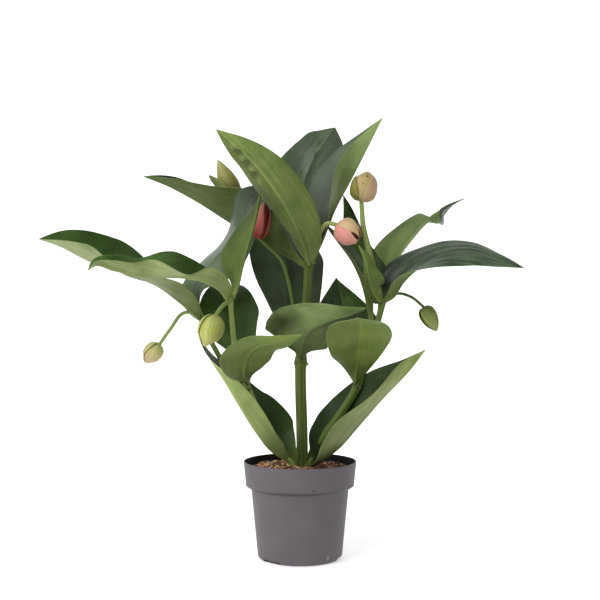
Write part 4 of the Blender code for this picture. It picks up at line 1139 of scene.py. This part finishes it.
def blade_finish(name, dark, light, vein, roughness, coat, groove, depth, bands=0.1, ribs=0.2):
    """One side of the leaves: groove is -1 where veins are sunk and 1 where they stand proud."""
    made, tree, shader = new_material(
        name, Roughness=roughness, IOR=1.45, Specular_IOR_Level=0.15 + coat,
        Coat_Weight=coat, Coat_Roughness=0.3,
    )
    blade = add(tree, "Attribute", attribute_name="blade").outputs["Vector"]
    place = add(tree, "SeparateXYZ", {"Vector": blade})
    down, aside, share = (place.outputs[axis] for axis in "XYZ")
    coords = add(tree, "TexCoord").outputs["Object"]
    # Older and younger tissue changes tone over some 30 mm.
    patches = add(tree, "TexNoise", {"Vector": coords, "Scale": 34.0, "Detail": 3.0})
    tones = add(tree, "ValToRGB", {"Fac": patches}, [(0.32, dark), (0.68, light)])
    # Long veins at even shares of the width, the midrib among them.
    near = add(tree, "Math", {0: share, 1: VEIN_SPACE / 2}, operation="PINGPONG")
    long_vein = add(tree, "MapRange", {"Value": near}, span=(0.0, VEIN_HALF, 1.0, 0.0), **SMOOTH)
    # Cross veins arch from one long vein to the next, a few millimetres apart.
    ladder = add(tree, "Math", {0: down, 1: 1 / CROSS_SPACE}, operation="MULTIPLY")
    arch = add(tree, "Math", {0: share, 1: -2.4, 2: ladder}, operation="MULTIPLY_ADD")
    sway = add(tree, "Math", {0: patches, 1: 3.0, 2: arch}, operation="MULTIPLY_ADD")
    cross = add(tree, "Math", {0: sway, 1: 0.5}, operation="PINGPONG")
    cross_vein = add(tree, "MapRange", {"Value": cross}, span=(0.0, 0.16, 0.35, 0.0), **SMOOTH)
    veins = add(tree, "Math", {0: long_vein, 1: cross_vein}, operation="MAXIMUM")
    # The midrib is a pale line a little over a millimetre wide, clearest near the foot.
    off = add(tree, "Math", {0: aside}, operation="ABSOLUTE")
    rib = add(tree, "MapRange", {"Value": off}, span=(0.3, 1.5, MIDRIB_SHARE, 0.0), **SMOOTH)
    rib_fade = add(tree, "MapRange", {"Value": down}, span=(20.0, 70.0, 1.0, 0.2))
    rib_part = add(tree, "Math", {0: rib, 1: rib_fade}, operation="MULTIPLY")
    vein_share = add(
        tree, "Math", {0: veins, 1: VEIN_SHARE, 2: rib_part}, operation="MULTIPLY_ADD", use_clamp=True
    )
    # Soft bands, some 5 mm wide, run the whole length of the blade.
    leaf_number = add(tree, "Attribute", attribute_name="leaf").outputs["Fac"]
    band_place = add(tree, "CombineXYZ", {
        axis: add(tree, "Math", {0: value, 1: factor}, operation="MULTIPLY")
        for axis, value, factor in (("X", aside, ribs), ("Y", down, 0.012), ("Z", leaf_number, 90.0))
    })
    band = add(tree, "TexNoise", {"Vector": band_place, "Scale": 1.0, "Detail": 2.0})
    band_tone = add(tree, "MapRange", {"Value": band}, span=(0.3, 0.7, 1 - bands, 1 + bands))
    banded = add(
        tree, "MixRGB", {"Fac": 1.0, "Color1": tones, "Color2": band_tone}, blend_type="MULTIPLY"
    )
    veined = add(tree, "MixRGB", {"Fac": vein_share, "Color1": banded, "Color2": vein})
    # The foot of the blade runs into the stem's paler green.
    foot = add(tree, "MapRange", {"Value": down}, span=(2.0, 26.0, 0.7, 0.0), **SMOOTH)
    footed = add(tree, "MixRGB", {"Fac": foot, "Color1": veined, "Color2": "#7C8F48"})
    # Each point's tone, partly the leaf's own colour and partly painted light and shade, multiplies
    # the colour; its painted lightening is capped at PALEST on faces toward the viewer and at
    # PALEST_AT_BACK on faces turned to the back of the plant, toward +Y.
    facing = add(tree, "SeparateXYZ", {"Vector": add(tree, "NewGeometry").outputs["Normal"]})
    palest = add(
        tree, "MapRange", {"Value": facing.outputs["Y"]}, span=(-0.1, 0.3, PALEST, PALEST_AT_BACK)
    )
    tone_with_painted_light = add(tree, "Attribute", attribute_name="tone").outputs["Fac"]
    held = add(tree, "Math", {0: tone_with_painted_light, 1: palest}, operation="MINIMUM")
    toned = add(
        tree, "MixRGB", {"Fac": 1.0, "Color1": footed, "Color2": held}, blend_type="MULTIPLY"
    )
    satin = add(
        tree, "MapRange", {"Value": patches}, span=(0.0, 1.0, roughness - 0.07, roughness + 0.07)
    )
    # The cells of the skin give a grain of about half a millimetre.
    skin = add(tree, "TexNoise", {"Vector": coords, "Scale": 1500.0, "Detail": 2.0})
    height = add(tree, "Math", {0: veins, 1: groove}, operation="MULTIPLY")
    fine = add(tree, "Math", {0: skin, 1: 0.12, 2: height}, operation="MULTIPLY_ADD")
    relief = add(tree, "Bump", {"Height": fine, "Strength": depth, "Distance": 0.0006})
    wire(shader, {"Base Color": toned, "Roughness": satin, "Normal": relief})
    return made


# Upper sides: dark, light and vein colour, roughness, wax, veins sunk, relief, bands, band width.
UPPER = {
    key: blade_finish("waxy_leaf_" + full, *values) for key, full, *values in (
        ("deep", "deep_green", "#283917", "#395026", "#516E3B", 0.50, 0.05, -1, 0.5),
        ("bottle", "bottle_green", "#2C4417", "#3B5922", "#566E34", 0.50, 0.05, -1, 0.5),
        ("grey", "grey_green", "#404F3A", "#55664A", "#6D805F", 0.48, 0.15, -1, 0.4),
        ("ash", "ash_green", "#828B7C", "#99A093", "#ACB1A4", 0.55, 0.1, -1, 0.4),
        ("slate", "slate_green", "#2F3E29", "#415138", "#58694C", 0.62, 0.0, -1, 0.4),
        ("ribbed", "ribbed", "#303E2C", "#475641", "#788369", 0.46, 0.16, -1, 1.0, 0.4, 0.42),
    )
}
UNDER = {
    key: blade_finish("satin_underside_" + key, *values) for key, *values in (
        ("muted", "#627544", "#788853", "#929B69", 0.56, 0.04, 1, 0.4, 0.14, 0.1),
        ("bright", "#62753B", "#78884A", "#929A61", 0.54, 0.04, 1, 0.4, 0.16),
        ("pale", "#74864C", "#939F68", "#A8B081", 0.50, 0.05, 1, 0.4, 0.14),
        ("olive", "#56682C", "#687838", "#818C45", 0.54, 0.06, 1, 0.4, 0.05),
        ("base", "#6B7A43", "#849057", "#989E68", 0.54, 0.04, 1, 0.4, 0.14),
        ("dull", "#4E5E2C", "#617238", "#7C874A", 0.54, 0.06, 1, 0.4),
    )
}
MARGIN = mottled(
    "pale_leaf_margin", 160.0, 2.0, [(0.35, "#6F8348"), (0.65, "#8C9F60")], Roughness=0.5, IOR=1.45
)
print("leaf finishes:", len(UPPER) + len(UNDER) + 1)


# %% Grow the leaves
for number, (name, leaf) in enumerate(LEAVES.items()):
    piece = build_leaf(name, leaf, number)
    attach(piece, "root")
    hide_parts(name)
print("faces on a leaf:", len(piece.data.polygons))

# %% [markdown]
# A flower head of the rose grape is still shut in its bracts here: broad, boat shaped leaves in
# crossed pairs, which overlap like tiles and meet in a blunt point. Each bract is a small blade
# on the bud's own round surface, so that its edges stand free, and it closes over a core.
# Young heads are lime green with darker veins, and older ones flush pink, ochre or red.

# %% Bud sizes in millimetres
BUDS = {
    "bud_top_left": {
        "foot": (-87, 100, 456), "way": (-0.45, 0.0, 1.0), "length": 58, "radius": 12.5,
        "slot": "bud_ochre", "heart": ("ochre", 0.8),
        "girth": (0.3, 0.75, 1.0, 0.92, 0.66, 0.36, 0.03),
        "bracts": [("ochre", 200, 88, 1.0, 0), ("ochre", 20, 90, 1.0, 0),
                   ("sprout", -60, 52, 0.74, 13)],
    },
    "bud_left_front": {
        "foot": (-102, -34, 299), "way": (-0.36, -0.15, -0.92), "length": 40, "radius": 13.6,
        "slot": "bud_lime", "heart": ("lime", 0.95),
        "girth": (0.2, 0.64, 0.97, 1.0, 0.82, 0.4, 0.03),
        "bracts": [("lime", 40, 72, 1.0, 0), ("lime", 220, 72, 1.0, 0), ("lime", -50, 80, 1.0, 0),
                   ("lime", 130, 80, 1.0, 0)],
    },
    "bud_far_left": {
        "foot": (-175, -3, 263), "way": (-0.64, -0.1, -0.75), "length": 29, "radius": 9.7,
        "slot": "bud_lime", "heart": ("straw", 0.95),
        "girth": (0.2, 0.64, 0.97, 1.0, 0.84, 0.46, 0.05),
        "bracts": [("straw", 20, 72, 1.0, 0), ("straw", 200, 72, 1.0, 0), ("straw", -70, 80, 1.0, 0),
                   ("straw", 110, 80, 1.0, 0)],
    },
    "bud_pink": {
        "foot": (48.5, -4, 411), "way": (0.76, -0.33, -0.55), "length": 34, "radius": 14,
        "slot": "bud_pink", "heart": ("red", 0.86),
        "girth": (0.3, 0.7, 0.98, 1.0, 0.86, 0.6, 0.25),
        "bracts": [("pink", 180, 75, 0.97, 0), ("pink", -105, 70, 0.97, 0), ("pink", 62, 82, 1.0, 0),
                   ("cream", -36, 40, 0.99, 0)],
    },
    "bud_top_right": {
        "foot": (76.5, -4, 444), "way": (0.2, -0.15, 1.0), "length": 37.5, "radius": 14.5,
        "slot": "bud_ochre", "heart": ("tan", 0.95),
        "girth": (0.35, 0.74, 0.98, 1.0, 0.9, 0.66, 0.12),
        "bracts": [("tan", 0, 80, 1.0, 0), ("tan", 180, 80, 1.0, 0), ("blush", 75, 74, 1.0, 0),
                   ("moss", -85, 62, 0.86, 0)],
    },
    "bud_right": {
        "foot": (156, 8, 309.5), "way": (0.47, -0.1, -0.88), "length": 34, "radius": 8.6,
        "slot": "bud_olive", "heart": ("olive", 0.95),
        "girth": (0.3, 0.74, 1.0, 0.95, 0.74, 0.44, 0.05),
        "bracts": [("olive", 70, 74, 1.0, 0), ("olive", 250, 74, 1.0, 0), ("olive", -30, 80, 1.0, 0),
                   ("olive", 150, 80, 1.0, 0)],
    },
    "bud_red": {
        "foot": (-52, 4, 398), "way": (0.19, 0.0, 1.0), "length": 47, "radius": 10,
        "slot": "bud_red", "heart": ("red", 0.97),
        "girth": (0.3, 0.72, 1.0, 0.98, 0.78, 0.48, 0.05),
        "bracts": [("dusky", 170, 80, 1.0, 0), ("dusky", -42, 66, 1.0, 0), ("dusky", 94, 50, 0.95, 1)],
    },
}
BUD_SEAT = 2.0
BRACT_STEP = 0.8
BRACT_WALL = 0.8
BRACT_ROUND = 0.2
BRACT_ROWS = 26
BRACT_HALF = 9


# %% Bract surfaces
def bract_finish(name, foot, body, tip, edge, vein, share=0.55):
    """A satin bract that changes from its foot to its tip, with long veins and a paler edge."""
    made, tree, shader = new_material(name, Roughness=0.46, IOR=1.45, Specular_IOR_Level=0.42)
    bract = add(tree, "Attribute", attribute_name="bract").outputs["Vector"]
    place = add(tree, "SeparateXYZ", {"Vector": bract})
    up, across, rim = (place.outputs[axis] for axis in "XYZ")
    coords = add(tree, "TexCoord").outputs["Object"]
    flush = add(tree, "TexNoise", {"Vector": coords, "Scale": 90.0, "Detail": 3.0})
    reach = add(tree, "Math", {0: flush, 1: 0.5, 2: up}, operation="MULTIPLY_ADD")
    low = add(tree, "Math", {0: reach, 1: 0.25}, operation="SUBTRACT", use_clamp=True)
    tone = add(tree, "ValToRGB", {"Fac": low}, [(0.05, foot), (0.45, body), (0.95, tip)])
    # Long veins, about 1.5 mm apart at the widest place.
    near = add(tree, "Math", {0: across, 1: 0.09}, operation="PINGPONG")
    line = add(tree, "MapRange", {"Value": near}, span=(0.0, 0.05, share, 0.0), **SMOOTH)
    veined = add(tree, "MixRGB", {"Fac": line, "Color1": tone, "Color2": vein})
    edging = add(tree, "MapRange", {"Value": rim}, span=(0.72, 1.0, 0.0, 0.75), **SMOOTH)
    edged = add(tree, "MixRGB", {"Fac": edging, "Color1": veined, "Color2": edge})
    skin = add(tree, "TexNoise", {"Vector": coords, "Scale": 1800.0, "Detail": 2.0})
    height = add(tree, "Math", {0: skin, 1: 0.3, 2: line}, operation="MULTIPLY_ADD")
    relief = add(tree, "Bump", {"Height": height, "Strength": 0.45, "Distance": 0.0004})
    wire(shader, {"Base Color": edged, "Normal": relief})
    return made


# Colours at the foot, the middle, the tip and the edge, and of the veins with their strength.
BRACTS = {
    key: bract_finish("satin_bract_" + key, *values) for key, *values in (
        ("lime", "#BCC470", "#B7BC60", "#BDBA6C", "#C9C87C", "#7F8C3C"),
        ("moss", "#6E6E30", "#8A8840", "#949058", "#7A7440", "#5E5A2A", 0.3),
        ("sprout", "#98A465", "#9CAA66", "#A2AC6C", "#98A264", "#7E8C4C", 0.3),
        ("straw", "#B8BE70", "#C4BA7C", "#B49A7C", "#C2BC84", "#8A7C4A"),
        ("olive", "#66733A", "#7C8A44", "#8C9250", "#94984E", "#525F28"),
        ("ochre", "#6A5C2E", "#8C8E46", "#B4B46C", "#A4A662", "#5C4522", 0.4),
        ("tan", "#9A945E", "#B4A468", "#B8A470", "#BCAE7C", "#92744A", 0.2),
        ("blush", "#B09A70", "#C49E7E", "#C0A67C", "#B8A67C", "#9A7454", 0.2),
        ("cream", "#DCB090", "#D8C28E", "#D2B480", "#DCA284", "#DE9C84", 0.3),
        ("pink", "#E6A88C", "#EC9E97", "#E6A592", "#DDB48C", "#DA7A74"),
        ("dusky", "#A03C38", "#B0544E", "#A06C56", "#8E5646", "#6E2A28", 0.4),
        ("red", "#7C2A24", "#74201C", "#5E1814", "#7A2A22", "#4A100E"),
    )
}
HOLE_SHADE = bract_finish("painted_hole_shade_on_bract", "#4A3820", "#4A3820", "#4A3820", "#4A3820", "#3A2A18")
print("bract finishes:", len(BRACTS) + 1)


# %% Close the buds
GIRTH_MARKS = (0.0, 0.1, 0.3, 0.5, 0.7, 0.85, 1.0)
EDGE_LIFT = 0.3
KEEL_LIFT = 0.3
HEART_SIDES = 32
# Holes in a bud, drawn as small dark spots of painted shade: turn in degrees, share of its height,
# radius in millimetres.
PITS = {"bud_top_right": [(2, 0.86, 1.2), (-12, 0.62, 0.9)]}
PIT_LIFT = 2.2
PIT_SLIM = 0.7
PIT_SIDES = 16
PIT_PROFILE = [(0.0, 0.0), (0.8, 0.3), (1.0, 0.6), (0.8, 0.9), (0.0, 1.2)]


def bract_body(name, bud, layer, bract):
    """One bract of a bud, standing along +Z from its foot; turn 0 faces +X."""
    finish, turn, spread, reach, gape = bract
    free = 0.97 if gape or reach < 1 else 0.5
    shares = np.linspace(0.0, 1.0, BRACT_ROWS)
    across = np.linspace(-1.0, 1.0, 2 * BRACT_HALF + 1)
    heights = np.minimum(0.01 + 0.985 * reach * shares, 0.995)
    radii = bud["radius"] * blended(GIRTH_MARKS, bud["girth"], heights)
    rows = []
    for share, height, radius in zip(shares, heights, radii):
        half = math.radians(spread) * (1 - free * share ** 3)
        row = []
        for c in across:
            lift = radius + BRACT_STEP * layer * (1 - 0.6 * height ** 4) + gape * share ** 2.5
            keel = KEEL_LIFT * math.exp(-(c / 0.12) ** 2)
            lift += (EDGE_LIFT * layer * abs(c) ** 3 + keel) * (1 - share)
            angle = math.radians(turn) + c * half
            row.append((lift * math.cos(angle), lift * math.sin(angle), height * bud["length"]))
        rows.append(row)
    rows = np.array(rows)
    normal = unit(np.cross(np.gradient(rows, axis=1), np.gradient(rows, axis=0)))
    v = np.abs(across)[None, :] + 0 * shares[:, None]
    half = BRACT_WALL * (1 - 0.5 * v ** 2) / 2
    skin = half[..., None] * normal
    out = outward(rows, BRACT_ROUND)
    made = body_between(rows + skin, rows - skin, out, name, [BRACTS[finish]] * 3)
    up = shares[:, None] + 0 * v
    marks = np.stack([up, across[None, :] + 0 * v, np.maximum(v, up ** 4)], -1)
    note(made.data, "bract", ringed(marks).reshape(-1, 3))
    return made


def build_bud(node, bud):
    """A bud with its heart, its bracts and the dark spots of painted shade for its holes, turned to
    its way and seated on its stalk.
    """
    name = "bracts_of_" + node
    finish, fullness = bud["heart"]
    top = fullness * bud["length"]
    shares = np.linspace(0.0, 1.0, 24)
    radii = bud["radius"] * blended(GIRTH_MARKS, bud["girth"], shares)
    profile = [(0.97 * radius, top * share) for share, radius in zip(shares, radii)]
    profile = [(0.0, 0.0), *profile, (0.0, top)]
    core = turned(name + "_heart", profile, HEART_SIDES, [BRACTS[finish]])
    heights = np.array([corner.co.z for corner in core.data.vertices]) / (bud["length"] * MM)
    note(core.data, "bract", np.stack([heights, 0.045 + 0 * heights, 0 * heights], -1))
    pieces = [core]
    for number, bract in enumerate(bud["bracts"]):
        pieces.append(bract_body(f"{name}_{number}", bud, 0.5 + 0.8 * number, bract))
    for k, (turn, share, size) in enumerate(PITS.get(node, ())):
        girth = float(blended(GIRTH_MARKS, bud["girth"], (share,))[0])
        place = ((bud["radius"] * girth + PIT_LIFT) * MM, 0.0, share * bud["length"] * MM)
        pit = turned(f"{name}_pit_{k}", PIT_PROFILE, PIT_SIDES, [HOLE_SHADE])
        for move in (
            Matrix.Diagonal((size, size * PIT_SLIM, 1.0, 1.0)),
            Matrix.Rotation(math.pi / 2, 4, "Y"),
            Matrix.Translation(place),
            Matrix.Rotation(math.radians(turn), 4, "Z"),
        ):
            pit.data.transform(move)
        note(pit.data, "bract", np.zeros((len(pit.data.vertices), 3)))
        pieces.append(pit)
    made = gather(name, pieces)
    way = unit(np.array(bud["way"], float))
    front = unit(np.array((0.0, -1.0, 0.0)) + way * way[1])
    seat = Vector(bud["foot"]) * MM - Vector(way * BUD_SEAT * MM)
    made.data.transform(Matrix(np.stack([front, np.cross(way, front), way], 1).tolist()).to_4x4())
    made.data.transform(Matrix.Translation(seat))
    return made


for name, bud in BUDS.items():
    piece = build_bud(name, bud)
    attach(piece, "root")
    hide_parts(name)
print("buds:", len(BUDS))

# %% The end
print("pieces finished")
